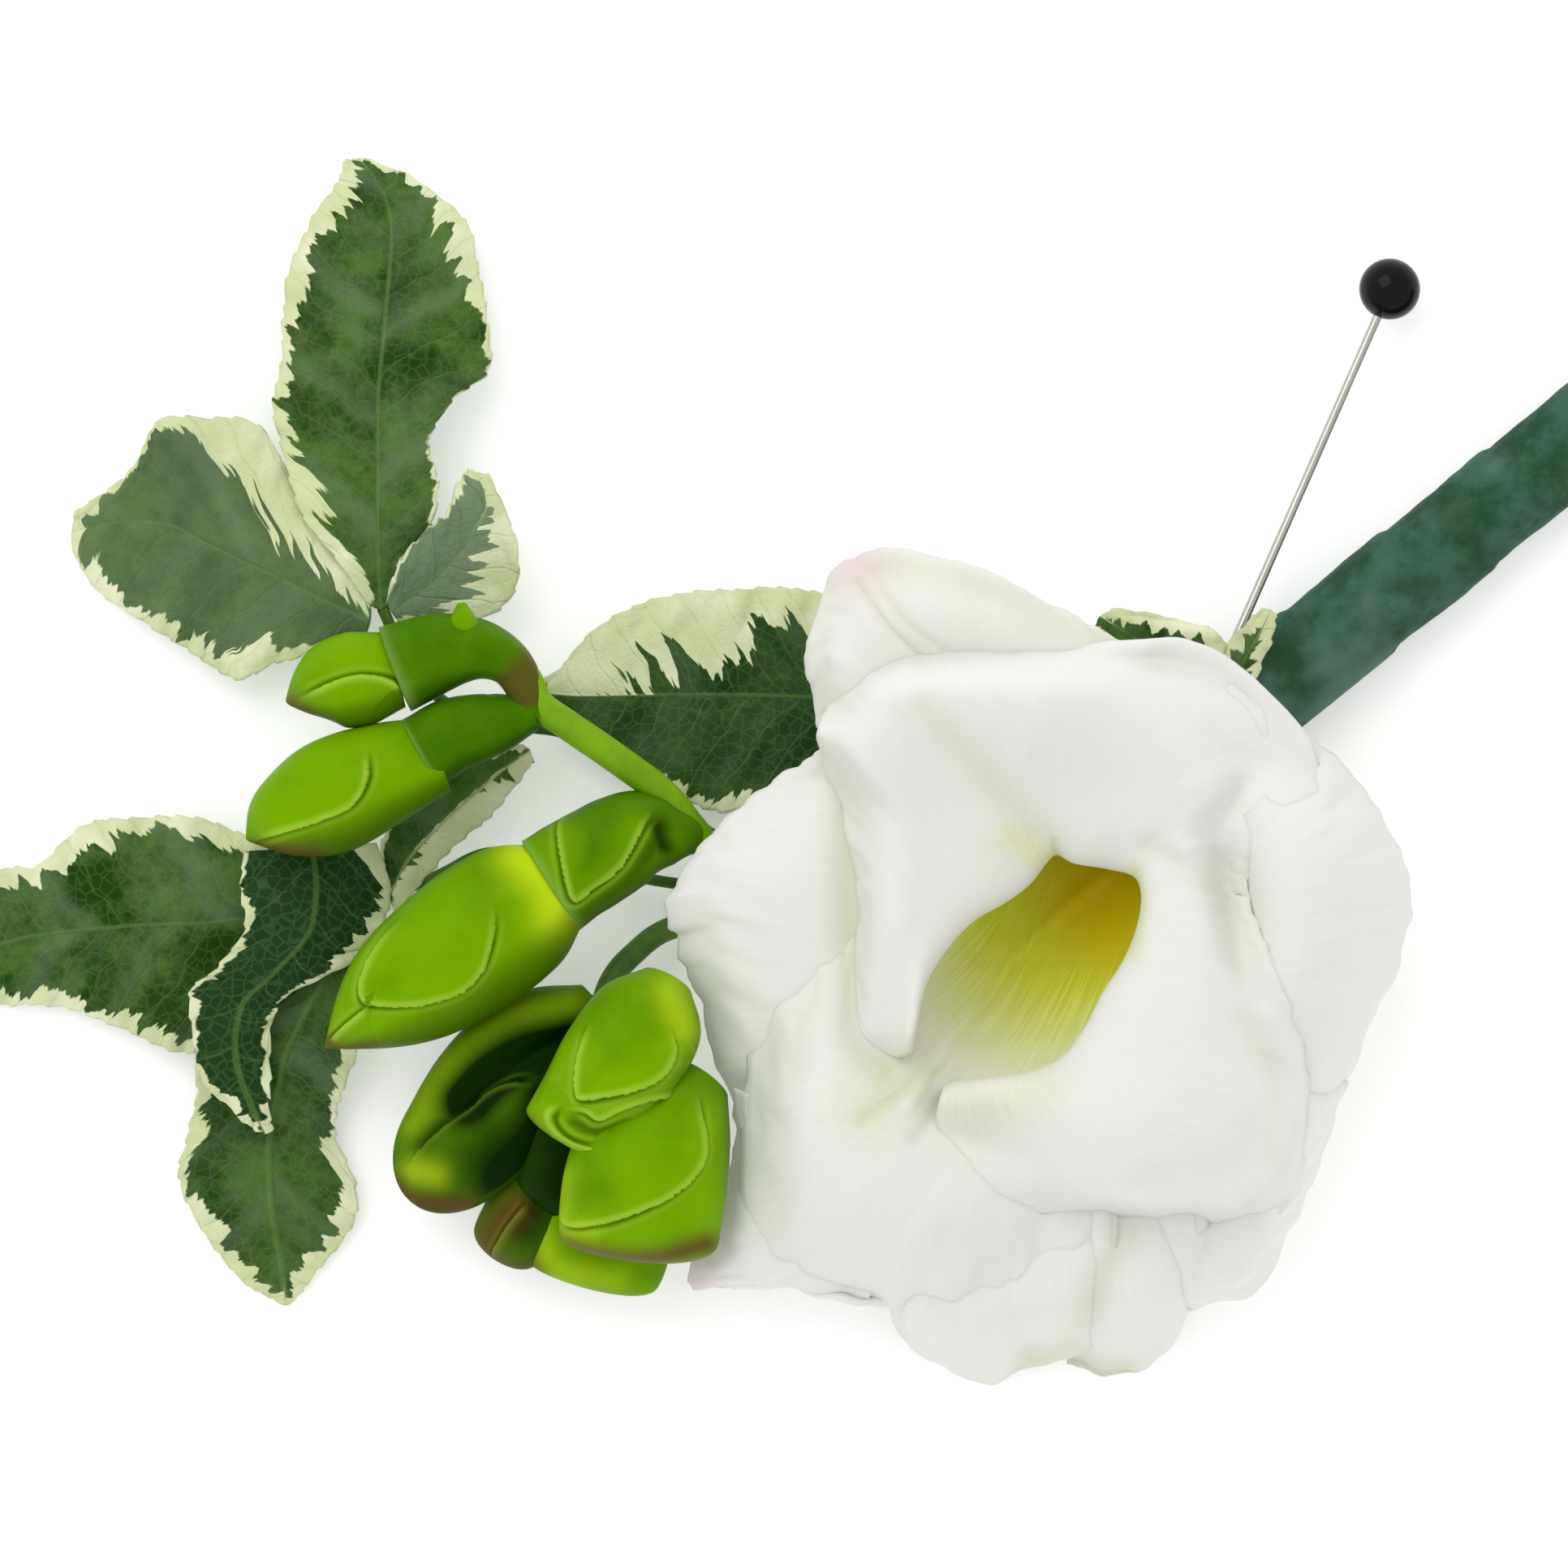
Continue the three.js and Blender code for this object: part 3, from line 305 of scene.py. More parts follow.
def band(tree, value, low, high, to_low=0, to_high=1):
    """A value that runs smoothly from to_low to to_high as another runs from low to high."""
    return add_node(tree, "ShaderNodeMapRange", {
        "Value": value, "From Min": low, "From Max": high, "To Min": to_low, "To Max": to_high},
        interpolation_type="SMOOTHSTEP").outputs["Result"]


def blend_colours(tree, share, first, second):
    """Mixes two colours. The mix node's inputs 6 and 7 and its output 2 are the colours."""
    node = add_node(tree, "ShaderNodeMix", data_type="RGBA")
    for socket, value in ((0, share), (6, first), (7, second)):
        if isinstance(value, bpy.types.NodeSocket):
            tree.links.new(value, node.inputs[socket])
        else:
            node.inputs[socket].default_value = value if socket == 0 else (*value, 1)
    return node.outputs[2]


def layered(tree, colour, *coats):
    """Lays coats over a colour, each with the share that it covers and its own colour."""
    for share, coat in coats:
        colour = blend_colours(tree, share, colour, coat)
    return colour


def noise_of(tree, scale, detail=3, roughness=0.5, place=None, stretch=(1, 1, 1)):
    if place is None:
        place = add_node(tree, "ShaderNodeTexCoord").outputs["Object"]
    mapping = add_node(tree, "ShaderNodeMapping", {"Vector": place, "Scale": stretch})
    return add_node(tree, "ShaderNodeTexNoise", {
        "Vector": mapping.outputs[0], "Scale": scale, "Detail": detail,
        "Roughness": roughness}).outputs["Fac"]


def drawn_out(tree, across, along, share):
    """The place that a streak's noise is read at: it changes less along than across."""
    return add_node(tree, "ShaderNodeCombineXYZ", {
        "X": across, "Y": times(tree, along, share)}).outputs[0]


def new_material(name, roughness, **sockets):
    material = bpy.data.materials.new(name)
    material.use_nodes = True
    shader = material.node_tree.nodes["Principled BSDF"]
    shader.inputs["Roughness"].default_value = roughness
    for key, value in sockets.items():
        shader.inputs[key.replace("_", " ")].default_value = value
    return material, material.node_tree, shader


def bump(tree, shader, height, distance):
    node = add_node(tree, "ShaderNodeBump", {"Height": height, "Distance": distance * MM})
    tree.links.new(node.outputs[0], shader.inputs["Normal"])


def paint(tree, shader, colour):
    tree.links.new(colour, shader.inputs["Base Color"])


# Colours, as red, green and blue. A name with two colours is a finish that wanders between them.

PETAL_WHITES = ((0.765, 0.765, 0.725), (0.78, 0.78, 0.745))
PETAL_CREAM = (0.74, 0.745, 0.69)
# A greenish grey: painted shade in petal creases and hollows, partly the petal's own green streaks.
SHADE_AND_STREAK_GREEN = (0.58, 0.62, 0.42)
THROAT_GREENS = ((0.52, 0.58, 0.018), (0.65, 0.69, 0.08))
THROAT_ORANGE = (0.6, 0.46, 0)
PETAL_PINK = (0.6, 0.42, 0.42)

BUD_GREENS = ((0.1, 0.25, 0), (0.16, 0.36, 0))
# A darker copy of the bud greens: painted shade for buds that lie under others.
SHADED_BUD_GREENS = ((0.02, 0.09, 0.001), (0.06, 0.16, 0.002))
BRACT_GREENS = ((0.04, 0.14, 0), (0.085, 0.22, 0.001))
INNER_BUD_GREEN = (0.2, 0.42, 0)
BUD_HIGHLIGHT = (0.5, 0.68, 0.01)
BUD_PAINTED_SHADE = (0.002, 0.012, 0)
BUD_BROWN = (0.11, 0.04, 0.014)
BUD_SHEEN = (0.45, 0.8, 0.12, 1)
FOLD_GROOVE_SHADOW = (0.03, 0.08, 0)
FOLD_RIDGE_HIGHLIGHT = (0.3, 0.5, 0.03)
FOLD_RIM_PALE_AND_HIGHLIGHT = (0.4, 0.62, 0.06)
BRACT_LIP = (0.35, 0.55, 0.15)

LEAF_GREENS = ((0.011, 0.045, 0.001), (0.073, 0.152, 0.027))
LEAF_CREAMS = ((0.6, 0.66, 0.36), (0.74, 0.77, 0.52))
LEAF_SHEEN_STREAK = (0.14, 0.21, 0.11)
LEAF_LOBE_SHEEN = (0.18, 0.25, 0.14)
LEAF_SHADE = (0.01, 0.042, 0.008)
LEAF_NET = (0.1, 0.2, 0.06)
LEAF_VEIN = (0.12, 0.22, 0.06)
LEAF_MIDRIB = (0.13, 0.25, 0.06)
LEAF_UNDERSIDE = (0.2, 0.3, 0.17)

STEM_GREENS = ((0.13, 0.3, 0), (0.2, 0.4, 0.002))
PETIOLE_GREENS = ((0.03, 0.09, 0.015), (0.1, 0.2, 0.03))
WIRE_GREENS = ((0.04, 0.07, 0.04), (0.07, 0.11, 0.06))
TAPE_GREENS = ((0.014, 0.062, 0.027), (0.04, 0.115, 0.074))
TAPE_RUBBED = (0.095, 0.19, 0.145)
TAPE_SPECK = (0.06, 0.14, 0.11)
PIN_STEELS = ((0.36, 0.35, 0.31), (0.6, 0.59, 0.55))
PIN_BLACKS = ((0.003, 0.003, 0.004), (0.008, 0.008, 0.01))
FLOOR_WHITES = ((0.93, 0.93, 0.93), (0.95, 0.95, 0.95))

# The values that the skins hold are in mm. On a bud, edge is the distance inwards from the nearest
# fold's free edge, which gives its rim, and the groove and ridge outside it. The rim is painted pale,
# partly the tepal's own margin and partly painted highlight, the groove gets a painted shadow and the
# ridge a painted highlight. On a leaf, rank is how far along the midrib the place's side vein starts,
# inset the distance inwards from the cream margin and midrib the distance from the midrib.

VEIN_SPACING = 2.6


def petal_material():
    material, tree, shader = new_material(
        "white petal", 0.6, Subsurface_Weight=0.3, Subsurface_Scale=0.8 * MM,
        Subsurface_Radius=(1, 1, 1.15), Specular_IOR_Level=0.15)
    place = drawn_out(tree, read_value(tree, "crossways"), read_value(tree, "lengthways"), 0.08)
    veins = noise_of(tree, 2.2, 2, 0.6, place)
    mottle = noise_of(tree, 350, 3)
    paint(tree, shader, layered(
        tree, blend_colours(tree, band(tree, veins, 0.35, 0.75), *PETAL_WHITES),
        (band(tree, mottle, 0.4, 0.8, 0, 0.25), PETAL_CREAM),
        # painted shade: greenish grey in creases and hollows, with a few of the petal's own green
        # streaks
        (read_value(tree, "shade_and_streaks"), SHADE_AND_STREAK_GREEN),
        (read_value(tree, "green"),
         blend_colours(tree, band(tree, veins, 0.36, 0.68), *THROAT_GREENS)),
        (read_value(tree, "warm"), THROAT_ORANGE),
        (read_value(tree, "pink"), PETAL_PINK)))
    bump(tree, shader, veins, 0.01)
    return material


def bud_material(name, dark, light):
    material, tree, shader = new_material(
        name, 0.42, Subsurface_Weight=0.1, Subsurface_Scale=1 * MM, Specular_IOR_Level=0.12,
        Specular_Tint=BUD_SHEEN)
    place = drawn_out(tree, read_value(tree, "crossways"), read_value(tree, "lengthways"), 0.12)
    streaks = noise_of(tree, 45, 3, 0.6, place)
    patches = noise_of(tree, 160, 3)
    edge, crisp = read_value(tree, "edge"), read_value(tree, "crisp")
    inner = band(tree, edge, 0.3, 2.6, 0.45, 0)
    groove = times(tree, band(tree, edge, -0.3, -0.06), band(tree, edge, -0.05, 0.03, 0.7, 0))
    ridge_highlight = times(tree, band(tree, edge, -0.75, -0.4, 0, 0.4), band(tree, edge, -0.4, -0.22, 1, 0))
    rim = times(tree, band(tree, edge, 0, 0.1), band(tree, edge, 0.1, 0.6, 0.6, 0))
    paint(tree, shader, layered(
        tree, blend_colours(tree, band(tree, patches, 0.3, 0.7), dark, light),
        (band(tree, streaks, 0.45, 0.7, 0, 0.2), light),
        (times(tree, inner, crisp), INNER_BUD_GREEN),
        # painted highlight: yellow-green light on the buds' lit spots and rims
        (read_value(tree, "highlight"), BUD_HIGHLIGHT),
        # painted shade: sides facing away from the light, and the hollows of dents
        (read_value(tree, "painted_shade"), BUD_PAINTED_SHADE),
        (read_value(tree, "blush"), BUD_BROWN),
        # painted shadow in the groove outside each fold's edge, painted highlight on the ridge beyond
        # it, and a pale rim inside that is partly the tepal's own margin and partly painted highlight
        (times(tree, groove, crisp), FOLD_GROOVE_SHADOW),
        (times(tree, ridge_highlight, crisp), FOLD_RIDGE_HIGHLIGHT),
        (times(tree, rim, crisp), FOLD_RIM_PALE_AND_HIGHLIGHT),
        (times(tree, read_value(tree, "lip"), 0.25), BRACT_LIP)))
    bump(tree, shader, streaks, 0.03)
    return material


def leaf_material():
    material, tree, shader = new_material("variegated leaf", 0.36, Specular_IOR_Level=0.06)
    rank, midrib = read_value(tree, "rank"), read_value(tree, "midrib")
    fingers = drawn_out(tree, rank, midrib, 0.12)
    blunt, fine = noise_of(tree, 0.6, 1, 0.5, fingers), noise_of(tree, 1.9, 2, 0.5, fingers)
    jag = math_of(tree, "MULTIPLY_ADD", blunt, 0.65, times(tree, fine, 0.35))
    swing = math_of(tree, "MULTIPLY_ADD", read_value(tree, "cream"), 4.2, 1.6)
    ragged = math_of(tree, "MULTIPLY_ADD", math_of(tree, "SUBTRACT", jag, 0.5), swing,
                     read_value(tree, "inset"))
    phase = math_of(tree, "FRACT", math_of(tree, "DIVIDE", rank, VEIN_SPACING))
    off_vein = math_of(tree, "ABSOLUTE", math_of(tree, "SUBTRACT", phase, 0.5))
    vein = band(tree, off_vein, 0, 0.055, 1, 0)
    spine = band(tree, midrib, 0.08, 0.24, 1, 0)
    cells = add_node(tree, "ShaderNodeTexVoronoi", {
        "Vector": add_node(tree, "ShaderNodeTexCoord").outputs["Object"], "Scale": 1300},
        feature="DISTANCE_TO_EDGE").outputs["Distance"]
    net_lines = band(tree, cells, 0, 0.12, 1, 0)
    patches = noise_of(tree, 220, 5, 0.7)
    streaks = noise_of(tree, 0.3, 1, 0.5, fingers)
    green = layered(
        tree, blend_colours(tree, band(tree, patches, 0.36, 0.66), *LEAF_GREENS),
        # painted sheen: lighter grey-green streaks between the side veins, where the glossy leaf
        # reflects the room
        (band(tree, streaks, 0.4, 0.75, 0, 0.5), LEAF_SHEEN_STREAK),
        # painted sheen over a whole lobe, and painted shade over lobes that lie under others or turn
        # away
        (read_value(tree, "pale"), LEAF_LOBE_SHEEN),
        (read_value(tree, "shade"), LEAF_SHADE),
        (times(tree, net_lines, 0.25), LEAF_NET),
        (times(tree, vein, 0.3), LEAF_VEIN),
        (times(tree, spine, 0.4), LEAF_MIDRIB))
    paint(tree, shader, layered(
        tree, blend_colours(tree, band(tree, noise_of(tree, 260, 3), 0.4, 0.7), *LEAF_CREAMS),
        (band(tree, ragged, -0.08, 0.1), green),
        (times(tree, read_value(tree, "under"), 0.5), LEAF_UNDERSIDE)))
    bump(tree, shader, math_of(tree, "ADD", times(tree, vein, 0.5), times(tree, net_lines, 0.2)),
         -0.08)
    return material


def stalk_material(name, dark, light):
    material, tree, shader = new_material(name, 0.45, Subsurface_Weight=0.1,
                                          Subsurface_Scale=1 * MM, Specular_IOR_Level=0.16)
    patches = noise_of(tree, 300, 4, 0.6)
    paint(tree, shader, blend_colours(tree, band(tree, patches, 0.3, 0.7), dark, light))
    bump(tree, shader, noise_of(tree, 900, 3), 0.05)
    return material


def tape_material():
    material, tree, shader = new_material("floral tape", 0.7, Specular_IOR_Level=0.15)
    patches = noise_of(tree, 270, 4, 0.65)
    rubbed = noise_of(tree, 100, 3, 0.6)
    specks = noise_of(tree, 900, 3, 0.6)
    paint(tree, shader, layered(
        tree, blend_colours(tree, band(tree, patches, 0.38, 0.64), *TAPE_GREENS),
        (band(tree, rubbed, 0.48, 0.66, 0, 0.7), TAPE_RUBBED),
        (band(tree, specks, 0.55, 0.8, 0, 0.5), TAPE_SPECK)))
    bump(tree, shader, math_of(tree, "ADD", patches, specks), 0.12)
    return material


def steel_material():
    material, tree, shader = new_material("bright steel", 0.3, Metallic=1)
    drawn = noise_of(tree, 500, 3, 0.6, stretch=(1, 0.1, 1))
    paint(tree, shader, blend_colours(tree, drawn, *PIN_STEELS))
    bump(tree, shader, drawn, 0.01)
    return material


def pin_head_material():
    material, tree, shader = new_material("black glass bead", 0.1, Specular_IOR_Level=0.12)
    haze = noise_of(tree, 400, 2)
    paint(tree, shader, blend_colours(tree, haze, *PIN_BLACKS))
    tree.links.new(band(tree, haze, 0.3, 0.8, 0.07, 0.16), shader.inputs["Roughness"])
    return material


def floor_material():
    material, tree, shader = new_material("lit white glass", 0.8, Emission_Strength=0.3)
    paint(tree, shader, blend_colours(tree, noise_of(tree, 60, 2), *FLOOR_WHITES))
    return material


# Stalks, grown along their paths by geometry nodes

def stalk_tree():
    tree = bpy.data.node_groups.new("stalk along its path", "GeometryNodeTree")
    face = tree.interface
    face.new_socket("Path", in_out="INPUT", socket_type="NodeSocketGeometry")
    for name, kind in (("Steps", "Int"), ("Sides", "Int"), ("Root radius", "Float"),
                       ("Tip radius", "Float"), ("Unevenness", "Float"), ("Seed", "Float"),
                       ("Skin", "Material")):
        face.new_socket(name, in_out="INPUT", socket_type=f"NodeSocket{kind}")
    face.new_socket("Stalk", in_out="OUTPUT", socket_type="NodeSocketGeometry")
    given = tree.nodes.new("NodeGroupInput").outputs
    line = add_node(tree, "GeometryNodeResampleCurve", {
        "Curve": given["Path"], "Count": given["Steps"]}).outputs[0]
    share = tree.nodes.new("GeometryNodeSplineParameter").outputs["Factor"]
    radius = add_node(tree, "ShaderNodeMapRange", {
        "Value": share, "To Min": given["Root radius"], "To Max": given["Tip radius"]}).outputs[0]
    section = add_node(tree, "GeometryNodeCurvePrimitiveCircle", {
        "Resolution": given["Sides"], "Radius": 1.0}).outputs[0]
    tube = add_node(tree, "GeometryNodeCurveToMesh", {
        "Curve": line, "Profile Curve": section, "Scale": radius, "Fill Caps": True}).outputs[0]
    grain = add_node(tree, "ShaderNodeTexNoise", {
        "W": given["Seed"], "Scale": 400.0, "Detail": 2.0}, noise_dimensions="4D").outputs[0]
    depth = math_of(tree, "MULTIPLY", math_of(tree, "SUBTRACT", grain, 0.5), given["Unevenness"])
    push = add_node(tree, "ShaderNodeVectorMath", {
        0: tree.nodes.new("GeometryNodeInputNormal").outputs[0], "Scale": depth},
        operation="SCALE").outputs[0]
    moved = add_node(tree, "GeometryNodeSetPosition", {"Geometry": tube, "Offset": push}).outputs[0]
    real = add_node(tree, "GeometryNodeRealizeInstances", {"Geometry": moved}).outputs[0]
    skinned = add_node(tree, "GeometryNodeSetMaterial", {
        "Geometry": real, "Material": given["Skin"]}).outputs[0]
    add_node(tree, "NodeGroupOutput", {"Stalk": skinned})
    return tree


def grown(name, tree, start, inputs):
    """Runs a geometry node tree on an object and keeps the result as a plain mesh."""
    modifier = start.modifiers.new("grow", "NODES")
    modifier.node_group = tree
    for item in tree.interface.items_tree:
        if item.name in inputs:
            modifier[item.identifier] = inputs[item.name]
    start.update_tag()
    shown = start.evaluated_get(bpy.context.evaluated_depsgraph_get())
    mesh = bpy.data.meshes.new_from_object(shown)
    mesh.name = name
    mesh.shade_smooth()
    bpy.data.objects.remove(start)
    piece = bpy.data.objects.new(name, mesh)
    bpy.context.collection.objects.link(piece)
    return piece


def stalk(name, tree, path, radii, material, sides, uneven=0.08, seed=1):
    """A round stalk through given points, from its root's radius to its tip's."""
    count = max(16, int(length_of(np.asarray(path, float)) / STALK_SPACING))
    points = placed(through(path, np.linspace(0, 1, count)))
    curve = bpy.data.curves.new(name, "CURVE")
    curve.dimensions = "3D"
    spline = curve.splines.new("POLY")
    spline.points.add(count - 1)
    spline.points.foreach_set("co", np.column_stack([points, np.ones(count)]).ravel())
    start = bpy.data.objects.new(name, curve)
    bpy.context.collection.objects.link(start)
    return grown(name, tree, start, {
        "Steps": count, "Sides": sides, "Root radius": radii[0] * MM, "Tip radius": radii[1] * MM,
        "Unevenness": uneven * MM, "Seed": float(seed), "Skin": material})


# Places inside the taped bundle: distance from its mouth, and sideways and upwards of its axis

def in_tape(distance, sideways, upwards):
    drop = TAPE_END_DROP * distance / TAPE_LENGTH
    return TAPE_START + TAPE_HEADING * distance + TAPE_ASIDE * sideways + (0, 0, upwards - drop)


def tape_radius(share):
    return TAPE_RADII[0] + (TAPE_RADII[1] - TAPE_RADII[0]) * share


def along_bore(angle_degrees, depth):
    """Where a slim stalk lies along the wall of the bore, from its cut end to the mouth."""
    angle = math.radians(angle_degrees)
    route = []
    for distance in (depth, depth / 2, 0):
        wall = tape_radius(distance / TAPE_LENGTH) - TAPE_WALL
        reach = wall - PETIOLE_RADIUS - BORE_GAP
        route.append(in_tape(distance, reach * math.cos(angle), reach * math.sin(angle)))
    return route


def add_tape(material):
    """The wound tape: out along it, and back inside. Each turn steps down off the one before it."""
    t, around = np.meshgrid(np.linspace(0, 1, TAPE_RINGS), np.arange(TAPE_SIDES) / TAPE_SIDES,
                            indexing="ij")
    wrap = t * TAPE_LENGTH / TAPE_PITCH - around
    climb = wrap - np.floor(wrap)
    rise = TAPE_STEP * np.minimum(climb, (1 - climb) * TAPE_STEP_STEEPNESS) - TAPE_STEP / 2
    fine, coarse = TAPE_CREPE
    crepe = fine * noise(5, around * 40 + t * 9, t * 30) + coarse * noise(6, around * 9, t * 22)
    outer = tape_radius(t) + rise + crepe
    inner = tape_radius(t) - TAPE_WALL
    radius = np.concatenate([outer, inner[::-1]])
    there_and_back = np.concatenate([t, t[::-1]])[:, 0]
    angle = np.concatenate([around, around[::-1]]) * math.tau
    table = rings([in_tape(0, 0, 0), in_tape(TAPE_LENGTH, 0, 0)], there_and_back, angle, radius,
                  radius)
    table[..., 2] = np.maximum(table[..., 2], TABLE_GAP)
    quads = grid_quads(2 * TAPE_RINGS, TAPE_SIDES, wrap=True)
    last = (2 * TAPE_RINGS - 1) * TAPE_SIDES
    side = np.arange(TAPE_SIDES)
    after = (side + 1) % TAPE_SIDES
    mouth = np.stack([last + side, last + after, after, side], axis=-1)
    tape = make_mesh("stem_tape_wrap", table.reshape(-1, 3), np.concatenate([quads, mouth]),
                     material)
    belongs(tape, "stem_tape")


def add_pin(steel, black):
    heading = unit(PIN_TIP - PIN_HEAD)
    ends = np.array([0, PIN_LENGTH / 2, PIN_LENGTH - PIN_POINT_LENGTH, PIN_LENGTH])
    t = np.linspace(0, 1, 60)
    radius = PIN_RADIUS * through([1, 1, 1, PIN_POINT_SHARE], t)[:, None]
    table = rings(PIN_HEAD + heading * ends[:, None], t, turns(16), radius, radius)
    belongs(body("pin_shaft_drawn", table, steel), "pin_shaft")

    lean = np.linspace(0.02, math.pi - 0.02, 40)[:, None]
    collar = PIN_COLLAR * np.exp(-((math.pi - lean - COLLAR_PLACE) / COLLAR_REACH) ** 2)
    radius = (PIN_HEAD_RADIUS + collar) * np.sin(lean)
    way = [PIN_HEAD - heading * PIN_HEAD_RADIUS, PIN_HEAD + heading * PIN_HEAD_RADIUS]
    table = rings(way, (1 - np.cos(lean[:, 0])) / 2, turns(64), radius, radius)
    belongs(body("pin_head_bead", table, black), "pin_head")


# Petals, the lowest first. All but the apron start on an arc of the throat, given by its angles in
# degrees, and each then runs through rows, root to rim. The crown runs all round the throat: from
# the lobe at its lower left along the lip below it, up its right side, over its top, and down its
# left side, where the free edge is rolled.

